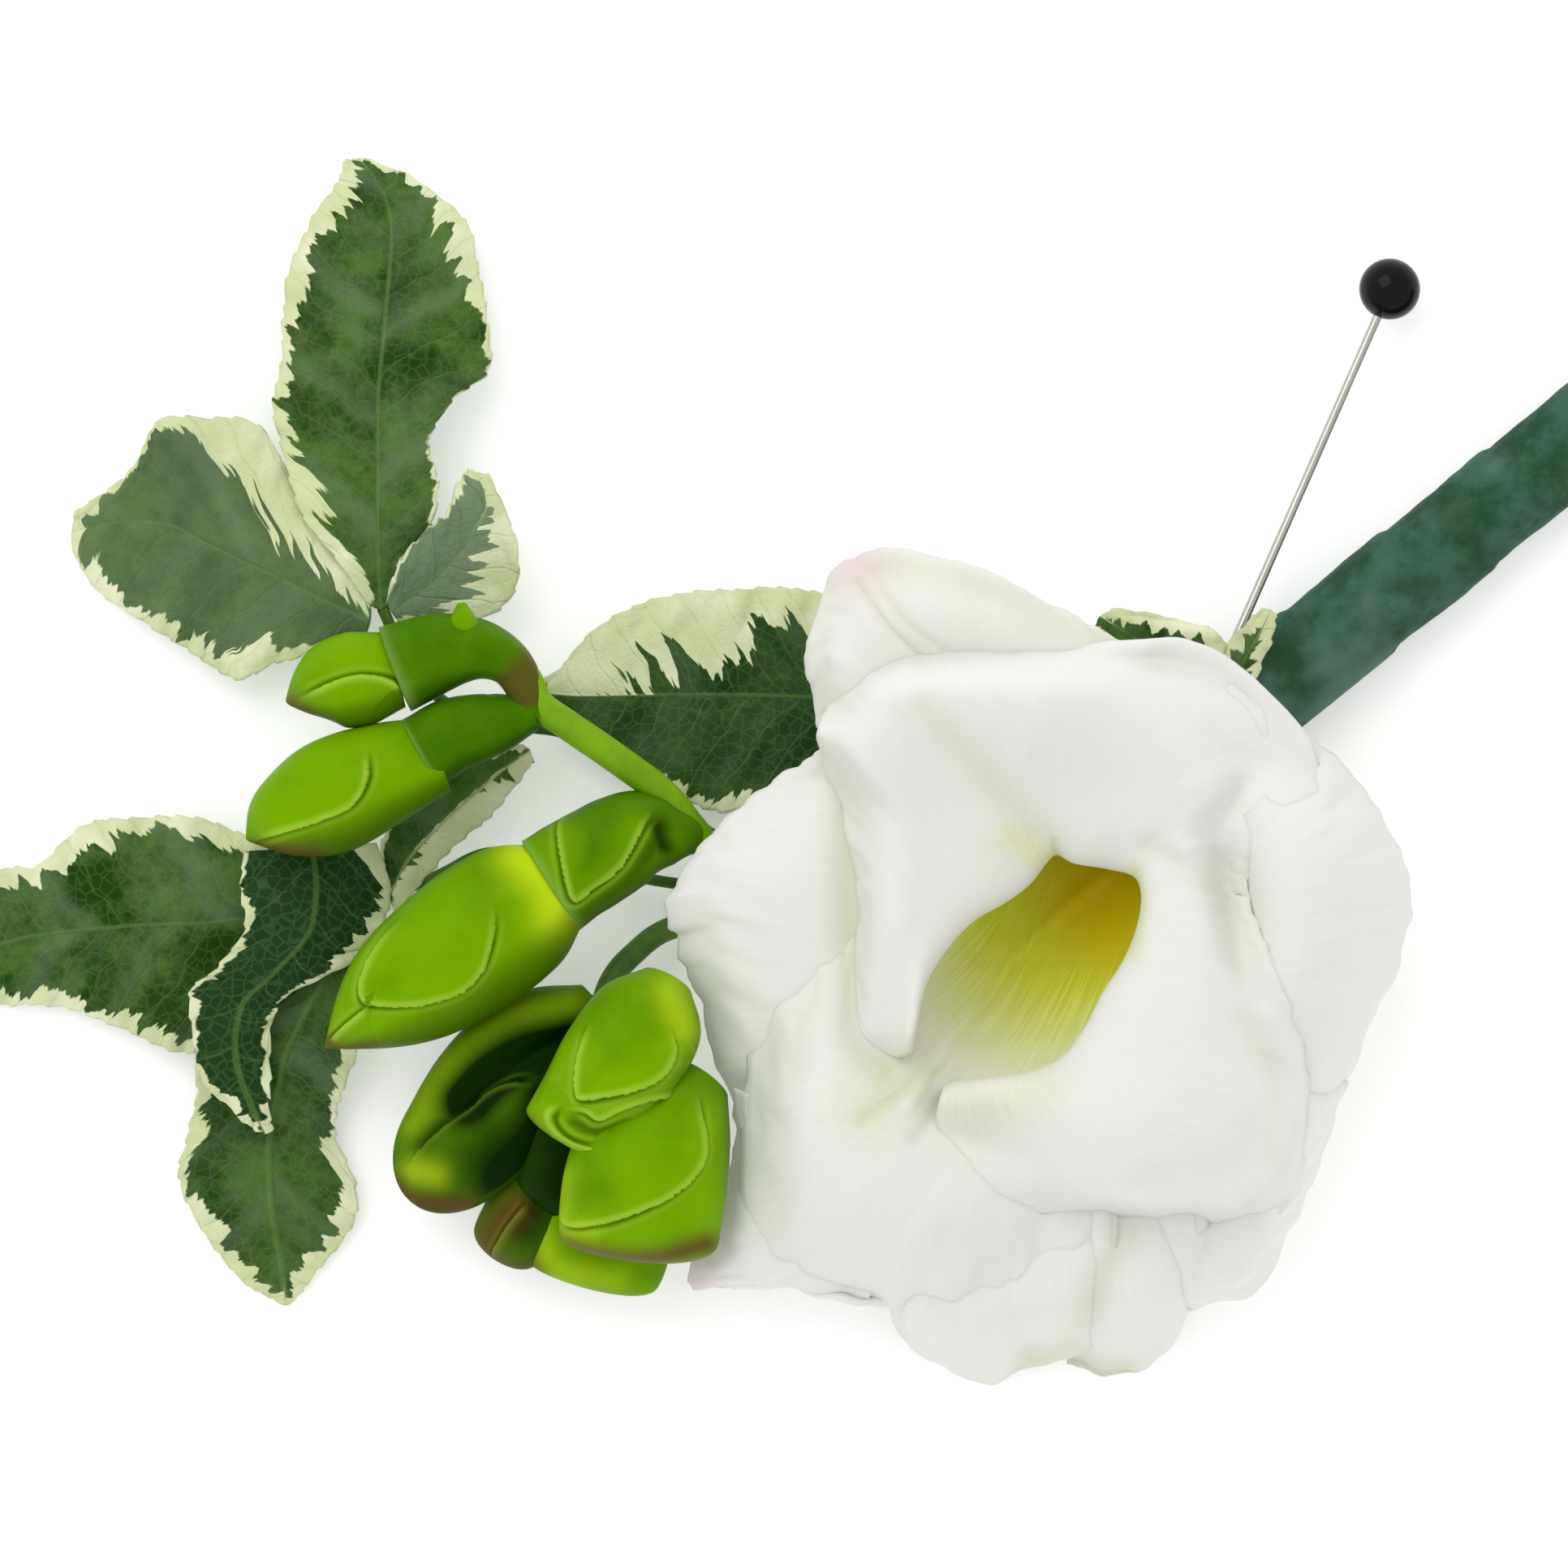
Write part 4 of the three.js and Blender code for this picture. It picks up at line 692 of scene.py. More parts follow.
PETALS = {
    "bottom": {"arc": (-85, -120), "rows": [
        [[20.6, -18.6, 8.5], [18.6, -18.6, 8.5], [16.5, -18.6, 8.3], [15.5, -18.1, 8.2],
         [14.4, -17.6, 8.2], [13.9, -16.5, 8.2]],
        [[21.6, -29, 12.4], [18.6, -31.3, 11.8], [14.9, -32.6, 10.6], [12.3, -33.1, 10],
         [9.7, -32.2, 10], [8.1, -30.7, 10]],
        [[20.5, -32.8, 7], [19.9, -36.3, 3.8], [16.5, -37.7, 1.6], [12.6, -38.9, 0.3],
         [8.1, -36.5, 1.6], [6.3, -33.4, 4]]]},
    "bottom_right": {"arc": (-60, -90), "rows": [
        [[24.8, -16.9, 10], [23.3, -17.5, 9.6], [21.6, -18, 9.2], [20.2, -18.4, 9],
         [18.8, -18, 9]],
        [[27.3, -27.6, 13], [25.4, -30.5, 12.6], [23.4, -31.8, 11.8], [21.4, -31.6, 11.4],
         [19.6, -30.2, 11.8]],
        [[27.1, -31.3, 5], [26.2, -34.4, 3], [24.5, -37.5, 1.2], [21.8, -38.5, 0.3],
         [18.4, -37.8, 0.6]]]},
    "low_right": {"arc": (-10, -65), "rows": [
        [[24.9, -11.3, 9], [24.9, -13.4, 9], [24.4, -15.5, 8.5], [22.8, -17.1, 8.5],
         [21.3, -17.6, 8.5]],
        [[32.8, -18.6, 13.5], [32.3, -22.8, 13.5], [30.7, -27.1, 13], [28.1, -30.2, 12],
         [24.4, -31.3, 10.5]],
        [[36.5, -19.2, 9], [34.8, -24.4, 8], [33.4, -28.1, 7.5], [31.3, -32.3, 7],
         [26.3, -34, 6]]]},
    "left_low": {"arc": (200, 245), "rows": [
        [[11.3, -13.9, 8.5], [10.7, -14.9, 8.3], [10.7, -16, 8], [11.3, -17.1, 8],
         [12.3, -17.6, 8]],
        [[-0.3, -19.7, 10.5], [-0.6, -25.5, 10], [-0.8, -29.8, 9.2], [3, -31, 9.2],
         [6.2, -31.8, 8.8]],
        [[-3.2, -19.7, 8], [-3.6, -25.5, 6.6], [-6.1, -32.5, 3], [-0.8, -32.2, 6.6],
         [5.4, -33.2, 6.8]]]},
    "left": {"arc": (150, 215), "rows": [
        [[11.8, -4.4, 11.5], [9.2, -6, 12], [7.4, -8.1, 12.4], [7.2, -12.3, 12],
         [9.1, -17.4, 10.5]],
        [[5.6, 0.3, 14.2], [3.6, -2.8, 14.4], [2.4, -7.1, 14.2], [2.5, -12.8, 12.6],
         [4, -21.6, 9.8]],
        [[3.4, 1.6, 11.5], [-0.8, -1.8, 12.5], [-3.2, -6.5, 13], [-3, -12.4, 11.6],
         [0.6, -22.4, 8.8]],
        [[2.3, 2.3, 10.5], [-3.2, -1.8, 11], [-7.5, -7.5, 10.5], [-5.9, -13.2, 8],
         [-2.6, -22.6, 6.8]]]},
    "back_top": {"arc": (135, 85), "rows": [
        [[11.3, -0.7, 10], [11.8, 0.8, 10.5], [13.4, 1.9, 11], [15.5, 2.4, 11], [18.1, 2.9, 11],
         [20.7, 2.9, 11]],
        [[5.5, 3.5, 13], [4.4, 7.2, 15], [6.5, 10.3, 16], [11.8, 10.6, 16.5], [17.1, 9, 15.5],
         [21.3, 7.2, 14]],
        [[2.4, 3.7, 10.5], [1.4, 8.7, 11], [4.2, 14.5, 12], [11.3, 14.4, 13.5],
         [17.6, 11.6, 13], [22.4, 8.6, 11.5]]]},
    "back_right": {"arc": (90, 45), "rows": [
        [[21.3, 0.3, 10], [22.8, 0.8, 10.5], [24.9, 0.3, 10.5], [27.1, -0.7, 10.5],
         [28.1, -2.3, 10.5]],
        [[20.7, 5.6, 14.5], [24.4, 6, 15.5], [27.6, 5.4, 16], [30.4, 3.2, 16], [32.4, 0.3, 15.5]],
        [[20.2, 8.6, 12], [23.9, 8.6, 12.5], [28.2, 7.6, 13], [31.2, 5.2, 13], [33.4, 1.8, 13]]]},
    "right": {"arc": (45, -25), "rows": [
        [[25.5, -2.8, 10.5], [26.5, -4.4, 10.5], [27.1, -7.1, 10.5], [26.5, -10.2, 10],
         [24.9, -13.4, 9.5]],
        [[29.2, -2.3, 18.2], [30.7, -4.9, 18.8], [31.5, -8.1, 18.8], [31.3, -12.8, 18],
         [29.7, -17.8, 15.2]],
        [[31.8, 0.3, 17.8], [34.7, -2.8, 18.6], [36, -7.1, 18.6], [35.2, -12.8, 17.2],
         [33.2, -20.6, 13.4]],
        [[33.4, 3.5, 11.5], [38.1, -1, 12], [40.6, -6.8, 12], [39.3, -12.8, 11],
         [35.4, -21.5, 8.8]]]},
    "apron": {"rows": [
        [[15, -4.4, 10.5], [15.8, -3.8, 9.6], [16.6, -3.4, 8.8], [17.6, -3.2, 8], [18.7, -3.2, 7.6],
         [19.8, -3.3, 7.6], [21, -3.5, 8], [22.2, -3.9, 8.6], [23.4, -4.4, 9.8], [24.6, -5.2, 11.5]],
        [[13.2, -7, 12.2], [12.6, -8.6, 11], [12.6, -10, 10.2], [13, -11.6, 9.6],
         [13.8, -13, 9.3], [15, -13.8, 9.3], [16.2, -13.8, 9.4], [17.8, -13.6, 9.8],
         [20.4, -13, 10.8], [23.4, -12, 12.4]],
        [[8.4, -9.8, 13.6], [7.6, -12, 13.4], [7.4, -14.2, 13.3], [7.6, -16.4, 13.4],
         [8.6, -18.4, 13.6], [10, -19.8, 13.6], [11.6, -20.4, 13.4], [13.8, -20.4, 13.1],
         [17, -20.2, 13.2], [20.6, -19.6, 13.4]],
        [[5.8, -6, 13.2], [5.6, -9.4, 13.2], [4.8, -13.2, 13.6], [3.6, -17.4, 14.8],
         [3.4, -21.4, 15.6], [5.2, -24.6, 15.8], [8, -26, 15.6], [11.4, -26.2, 15.2],
         [15.6, -25.4, 14.2], [19.6, -24.4, 13]],
        [[5.6, -5, 13], [5, -8.2, 13.2], [3.6, -11.8, 14], [0.8, -17, 15], [-0.2, -22.6, 15.8],
         [1.6, -28.6, 15.2], [5.4, -30.8, 15], [10.6, -30.8, 14.5], [16, -29, 13.6],
         [20.8, -26.6, 13]],
        [[5.5, -4, 12.6], [4.8, -7.6, 12.8], [2.6, -10.8, 13.2], [-1.2, -15.4, 12.6],
         [-2.7, -22.6, 12], [-1.4, -31, 9.8], [4.4, -33.5, 9.8], [11, -33.8, 10.8],
         [17, -31.8, 11.4], [21.6, -28.4, 11.5]]]},
    "crown": {"arc": (-125, -112, -98, -84, -70, -52, -35, -15, 0, 22, 41, 85, 118, 150, 170, 183,
                      195, 207, 218, 224), "ruffle": 0.25, "rows": [
        [[11, -19.2, 10.8], [13.6, -19.2, 10.8], [16.2, -19, 11], [18.4, -18.2, 11.2],
         [20, -16.3, 11.5], [21.2, -13.8, 11.5], [22.6, -11.4, 11.5], [23.3, -9, 11.5],
         [23.5, -7, 11.5], [22.9, -5.5, 11.5], [21.2, -4.8, 11.5], [19, -4.3, 11.5],
         [17.3, -4.2, 11.5], [15.4, -5.7, 11.5], [13.8, -6.8, 11.5], [11.9, -8.1, 11.3],
         [10.3, -10, 11.2], [8.8, -12.6, 11.2], [8.2, -16, 11.2], [8.3, -17.3, 12]],
        [[10.4, -19.6, 15.6], [13.2, -19.3, 17.4], [16, -18.9, 18.4], [18.2, -18, 19],
         [19.9, -16, 19.4], [21.1, -13.6, 19.4], [22.4, -11.3, 19.2], [23.2, -9, 18.8],
         [23.4, -7, 18.4], [22.9, -5.7, 18.2], [21.2, -5.1, 17.8], [19, -4.7, 17.8],
         [17.4, -4.1, 17.4], [15.6, -6, 16.8], [14, -7.1, 16.4], [12.1, -8.4, 16.3],
         [10.5, -10.2, 16.4], [9, -12.8, 16.6], [8.3, -16, 16.4], [8.1, -17.4, 14.8]],
        [[9.9, -21.4, 17.4], [14.4, -22, 19.4], [18.4, -22.4, 21], [21.8, -21.8, 22],
         [25, -19.2, 22.2], [26, -15, 22], [26, -11.4, 21.4], [25.6, -8, 20.6],
         [25.4, -5.6, 20], [25.6, -3.6, 20.2], [24.4, -1.6, 20.8], [21, -0.4, 21],
         [16.8, 0, 21], [12.4, -0.6, 20], [9.8, -0.8, 19.4], [9, -4, 18.4],
         [8.5, -7.4, 18.1], [8, -11, 18.1], [7.5, -16.1, 17.7], [7.3, -17.7, 14.8]],
        [[10.2, -23.6, 17.6], [16.2, -25, 19.6], [22.4, -25.8, 20.6], [28, -25, 21],
         [31, -20.8, 21.4], [31, -15.8, 21.4], [29.6, -11.4, 21], [28.2, -7.8, 20.4],
         [27.8, -5, 19.8], [28.8, -2, 19.8], [28.8, 1.8, 20.4], [25, 5, 21.8],
         [17, 5.4, 24.2], [10.2, 5.6, 23.4], [6.2, 5, 22.4], [5.4, 0.4, 20.4],
         [5.8, -4, 19.6], [5.8, -8.6, 19.2], [5.8, -15.4, 18], [6.2, -17.5, 14.8]],
        [[11.2, -25.8, 16.4], [17.4, -27.8, 17.4], [25.4, -28.2, 17.6], [32.4, -27.6, 17.6],
         [34.1, -20.4, 18.6], [33.1, -15.2, 19.6], [31.6, -11, 20], [30.2, -7.8, 19.6],
         [30, -5.6, 19.2], [31.6, -3, 18.4], [34.9, 0.8, 15.4], [27.6, 9, 16.4],
         [17.6, 8.8, 20.5], [8.6, 8.6, 20.4], [3.6, 5.8, 19.4], [2.3, 2.6, 17.2],
         [3.8, -3, 16], [4.6, -8, 15.8], [4.6, -14.6, 15.2], [5.2, -16.8, 14.4]]]},
}

PETAL_SPACING = 0.36
PETAL_THICKNESS = (0.5, 0.16)
PETAL_MARGIN = 1.6
PETAL_GAP = 0.35
PETAL_RUFFLE = 0.4
PETAL_RIB = 0.006
PETAL_NOTCH = 0.3
LOWEST_PETAL = 0.4
TAPERED_STEPS, TAPERED_SIDES = 40, 40

# The throat is coloured below its rim: green about its middle, and gold about one place. Each pair
# goes from where the colour starts to where it is full: a height, and two distances.

THROAT_RIM = (16, 11)
GREEN_REACH = (17, 5)
THROAT_GOLD = (21, -7.5)
GOLD_REACH = (7.5, 1.5)

# Marks are lines seen from above, with how far each reaches and how strong it is. Blushes are the
# pink ones, and glows are where the throat's green shows through beyond its rim.

BLUSHES = (
    (((4.4, 14.3), (5, 13.4)), 2.2, 0.5), (((-6.6, -32.3), (-5.4, -31.6)), 1.8, 0.45),
    (((4.6, 12.9), (6.8, 10), (9.6, 8.4)), 0.22, 0.4),
    (((5.6, 13.2), (7.8, 10.6), (10.8, 8.8)), 0.18, 0.35))
GLOWS = (
    (((14.8, -3.4), (16.2, -4.2), (17, -5)), 1.3, 0.34),
    (((22.8, -5.4), (23.2, -8), (22.8, -11)), 0.6, 0.3),
    (((11.4, -20.6), (14, -20.6), (16.6, -19.6)), 1.8, 0.2),
    (((9.4, -17.8), (7.4, -19.4), (5.4, -21)), 2, 0.22))

# Creases and ribs: a line seen from above, how deep it is, how far it reaches and how green. The
# green is a greenish grey, mostly painted shade in the creases and partly the petal's own streaks.

CREASES = {
    "back_top": (
        (((4.9, 12.9), (7.1, 10.1), (9.2, 8.1)), 0.3, 0.35, 0.3),
        (((5.7, 13.4), (8.1, 10.6), (10.5, 8.7)), 0.25, 0.35, 0.3),
        (((6.3, 14), (12.3, 12.9), (17.6, 10.3), (21.3, 8.7)), 0, 1.2, 0.45)),
    "bottom": (
        (((22.3, -29), (19.8, -34), (17.8, -37.6)), 0, 1.2, 0.3),
        (((16, -37.6), (21, -38)), 0, 1.2, 0.7)),
    "bottom_right": (
        (((22.3, -29), (19.8, -34), (17.8, -37.6)), 0, 0.9, 0.3),
        (((18, -38), (22.3, -38.4)), 0, 1.2, 0.7)),
    "left": (
        (((2.1, 4.5), (3, 0.8), (4.2, -2.3)), 0.3, 0.7, 0.3),
        (((4, -1), (4.1, -5), (4.2, -10)), 0.4, 1.2, 0.5)),
    "apron": (
        (((21.3, -5.7), (17.1, -9.2), (12.3, -14.4), (8.1, -20.7)), -0.3, 0.45, 0),
        (((4.3, -8), (4.1, -12), (4.4, -16.4), (6.6, -18.6)), 0.4, 1.1, 0.5),
        (((11, -19.5), (8.4, -23)), 0.2, 0.6, 0.35),
        (((9.7, -18.6), (5, -21.8)), 0.2, 0.6, 0.35)),
    "crown": (
        (((9.2, 5), (11.8, 1.9), (16, -3)), 0.5, 1.2, 0.25),
        (((17.5, -3.6), (17.5, -5)), 0.2, 0.4, 0.5),
        (((3.6, 0), (4.3, -6), (4.3, -14)), 0, 0.8, 0.35),
        (((23.7, -4), (26, -5.4), (28.2, -8.6), (29.4, -12.4)), 0.4, 0.9, 0.15),
        (((25.4, -3.8), (28.6, -6.6), (31, -10.6), (32.6, -14.2)), -0.25, 0.6, 0),
        (((31.4, -14.6), (33.2, -19.4), (33, -24), (31, -27)), -0.4, 0.7, 0),
        (((29.6, -15), (31.4, -19.6), (31, -24)), 0.3, 0.9, 0.2)),
}

# The bed is a map of how high the petals laid so far reach, in square cells about the middle. It
# starts well below the table.

BED_CELL = 0.5
BED_CELLS = 240
BED_BOTTOM = -20.0


def with_neighbours(table):
    """A table's own values, and those of the four neighbours of each."""
    edged = np.pad(table, 1, mode="edge")
    return table, [edged[:-2, 1:-1], edged[2:, 1:-1], edged[1:-1, :-2], edged[1:-1, 2:]]


def soften(table, rounds):
    """Evens a table out by taking each value's mean with its neighbours, a few times."""
    for _ in range(rounds):
        own, near = with_neighbours(table)
        table = (own * 2 + near[0] + near[1] + near[2] + near[3]) / 6
    return table


def read_bed(bed, plan):
    """The bed's height at places between its cells."""
    place = np.clip(plan / BED_CELL + BED_CELLS / 2 - 0.5, 0, BED_CELLS - 1.001)
    cell = place.astype(int)
    x, y = cell[..., 0], cell[..., 1]
    east, north = (place - cell)[..., 0], (place - cell)[..., 1]
    south_side = bed[x, y] * (1 - east) + bed[x + 1, y] * east
    north_side = bed[x, y + 1] * (1 - east) + bed[x + 1, y + 1] * east
    return south_side * (1 - north) + north_side * north


def lay(grid, bed, length, width):
    """Lets a petal's free edges down onto the petals under it, and lifts the rest clear of them."""
    own, near = with_neighbours(bed)
    spread = np.maximum.reduce([own, *near])
    sides = np.abs(2 * width - 1)
    free = np.maximum(smooth(0.6, 1, length), smooth(0.7, 1, sides) * smooth(0.4, 0.75, length))
    gap = PETAL_GAP * (1 - 1.7 * free)
    clearance = grid[..., 2] - read_bed(soften(spread, 4), grid[..., :2]) - gap
    drop = free * np.maximum(clearance, 0) * smooth(9, 6, clearance)
    lift = np.maximum(-clearance, 0) * smooth(0.25, 0.4, length) * smooth(1, 0.9, sides)
    grid[..., 2] += soften(lift, 6) - soften(drop, 25)


def touch(plan, line, reach):
    """A share that is 1 on a smooth line through a few points, seen from above, and fades off it."""
    points = through(line, np.linspace(0, 1, 60))
    distance = np.min([np.linalg.norm(plan - point, axis=-1) for point in points], axis=0)
    return np.exp(-(distance / reach) ** 2)


def marked(plan, marks):
    """How strongly places are touched by marks, each a line, a reach and a strength."""
    return np.max([np.zeros(plan.shape[:-1])] + [
        strength * touch(plan, line, reach) for line, reach, strength in marks], axis=0)


def thinned(thickness, margin_width, margin):
    """A blade's thickness, which thins to its edge over a margin."""
    full, thin = thickness
    return thin + (full - thin) * smooth(0, margin_width, margin)


def petal_rows(look):
    """A petal's rows of points, after its root's arc on the throat where it has one."""
    if "arc" not in look:
        return look["rows"]
    share = np.linspace(0, 1, len(look["rows"][0]))
    turn = np.radians(np.interp(share, np.linspace(0, 1, len(look["arc"])), look["arc"]))
    arc = THROAT + THROAT_RADIUS * np.stack([np.cos(turn), np.sin(turn), 0 * turn], axis=-1)
    return [arc.tolist()] + look["rows"]


def add_petal(number, name, look, bed, material):
    grid, u, v = net(petal_rows(look), PETAL_SPACING)
    length, width = np.meshgrid(u, v, indexing="ij")
    across = width * length_of(grid[-1])
    along = length * length_of(grid[:, len(v) // 2])
    outer = smooth(0.45, 1, length)
    ruffle = look.get("ruffle", PETAL_RUFFLE) * outer * noise(number, across * 0.55, along * 0.2)
    ribs = PETAL_RIB * noise(40 + number, across * 4, along * 0.15) * smooth(0.1, 0.5, length)
    grid = grid + normals_of(grid) * (ruffle + ribs)[..., None]
    notch = PETAL_NOTCH * smooth(0.75, 1, length) * noise(70 + number, across, along * 0.1)
    grid = grid + unit(np.gradient(grid, axis=0)) * notch[..., None]
    lay(grid, bed, length, width)
    plan = grid[..., :2]
    shade_and_streaks = np.zeros(length.shape)
    # Each crease dips the petal and lays a greenish painted shade along it, partly the petal's own
    # streaks.
    for line, depth, reach, tint in CREASES.get(name, ()):
        share = touch(plan, line, reach)
        grid[..., 2] -= depth * share
        shade_and_streaks = np.maximum(shade_and_streaks, tint * share)
    grid[..., 2] = np.maximum(grid[..., 2], LOWEST_PETAL)
    cell = np.clip(np.floor(plan / BED_CELL + BED_CELLS / 2).astype(int), 0, BED_CELLS - 1)
    np.maximum.at(bed, (cell[..., 0], cell[..., 1]), grid[..., 2])
    margin = np.minimum.reduce([along[-1:] - along, across, across[:, -1:] - across])
    thickness = thinned(PETAL_THICKNESS, PETAL_MARGIN, margin)
    deep = smooth(*THROAT_RIM, grid[..., 2])
    warm = deep * smooth(*GOLD_REACH, np.linalg.norm(plan - THROAT_GOLD, axis=-1))
    green = deep * smooth(*GREEN_REACH, np.linalg.norm(plan - THROAT[:2], axis=-1))
    piece = shell(f"petal_{name}", grid, thickness, material, {
        "crossways": across, "lengthways": along, "warm": warm, "shade_and_streaks": shade_and_streaks,
        "green": np.maximum(green, marked(plan, GLOWS)), "pink": outer * marked(plan, BLUSHES)})
    belongs(piece, "bloom")


def tapered(name, path, radii, material):
    """A round body whose radius runs smoothly through a short list."""
    t = np.linspace(0, 1, TAPERED_STEPS)
    angle = turns(TAPERED_SIDES)
    radius = through(radii, t)[:, None]
    table = rings(path, t, angle, radius, radius)
    share = np.broadcast_to(t[:, None], table.shape[:2])
    around = np.broadcast_to(angle / math.tau, table.shape[:2])
    return body(name, table, material, {
        "lengthways": share, "crossways": around, "green": smooth(0, 1, share) * 0.5})


def add_bloom(material):
    bed = np.full((BED_CELLS, BED_CELLS), BED_BOTTOM)
    for number, (name, look) in enumerate(PETALS.items()):
        add_petal(number, name, look, bed, material)
    neck = tapered(
        "bloom_neck",
        [[18.7, -7.8, 6.9], [18.7, -7.4, 6], [18.7, -6.5, 5.2], [18.8, -5, 4.7], [18.95, -2.9, 4.4]],
        [2.9, 2.6, 2.1, 1.6, 1.4], material)
    belongs(neck, "bloom")


# Buds and their bracts. wide and deep are half sizes along the axis, root to tip. blunt is the
# share of its length where a bud starts to round off to its tip. A fold is the free edge of a
# layer, a line seen from above with the layer on its left, and how thick that is. sharp is how
# strongly the folds' edges show in colour: their painted shadow and highlights, and the pale rim.
# A dent has a line, a depth, a reach and how dark it is, as painted shade in its hollow. Brown
# stains are marks, as on the petals, and so are highlights, spots of painted yellow-green light. A
# dark bud has the shaded green, a darker copy of the bud green painted on buds that lie under others.

SPIKE_BUDS = {
    "low": {"axis": [[-14.3, -6.2, 9.6], [-17.2, -8.1, 9.6], [-21.4, -11, 9.3],
                     [-25.6, -13.9, 9], [-29.8, -17.1, 8.4]],
            "wide": [2.8, 4.5, 4.7, 3.6, 0.6], "deep": [2, 3.2, 3.4, 2.6, 0.6],
            "folds": [([[-24.4, -8.2], [-26, -10], [-27.2, -12.2], [-27.5, -13.8], [-26.7, -14.4],
                        [-23.7, -14.3], [-20.9, -13.4], [-19.4, -11.8], [-18.7, -9.4],
                        [-18.8, -7.6]], 0.35),
                      ([[-26.9, -14.3], [-28.5, -15.6], [-29.6, -16.7]], 0.2)],
            "stains": [([[-29.8, -16.6], [-28.6, -17.4], [-26.6, -17.7]], 1, 0.75)],
            "highlights": [([[-17, -4.4], [-15.2, -6.4], [-14.6, -8.6]], 1.8, 0.95)]},
    "middle": {"axis": [[-22.4, 1.9, 9.6], [-26.1, 0.6, 9.6], [-29.8, -1, 9.4],
                        [-32.9, -2.4, 9.1], [-34.9, -3.6, 8.8]],
               "wide": [2.5, 3.4, 3.7, 2.5, 0.5], "deep": [1.7, 2.5, 2.7, 1.9, 0.5],
               "folds": [([[-34.6, -3.8], [-32.5, -3.1], [-30, -2.3], [-27.9, -1.3],
                           [-26.9, 0.4], [-27, 2.4]], 0.4)],
               "stains": [([[-34.4, -4.2], [-32.5, -4.5], [-30.4, -4.6]], 0.7, 0.7)]},
    "top": {"axis": [[-25.1, 7.4, 9.6], [-27.7, 6.8, 9.6], [-29.8, 6.4, 9.4], [-32.3, 5.3, 9]],
            "wide": [2.5, 3.1, 2.6, 0.5], "deep": [1.8, 2.3, 2, 0.5],
            "folds": [([[-24.6, 6], [-25.4, 6.8], [-27.4, 7.1], [-29.4, 6.6], [-31.8, 5.4]], 0.35)],
            "stains": [([[-32, 5.2], [-31, 4.4]], 0.8, 0.7)]},
}

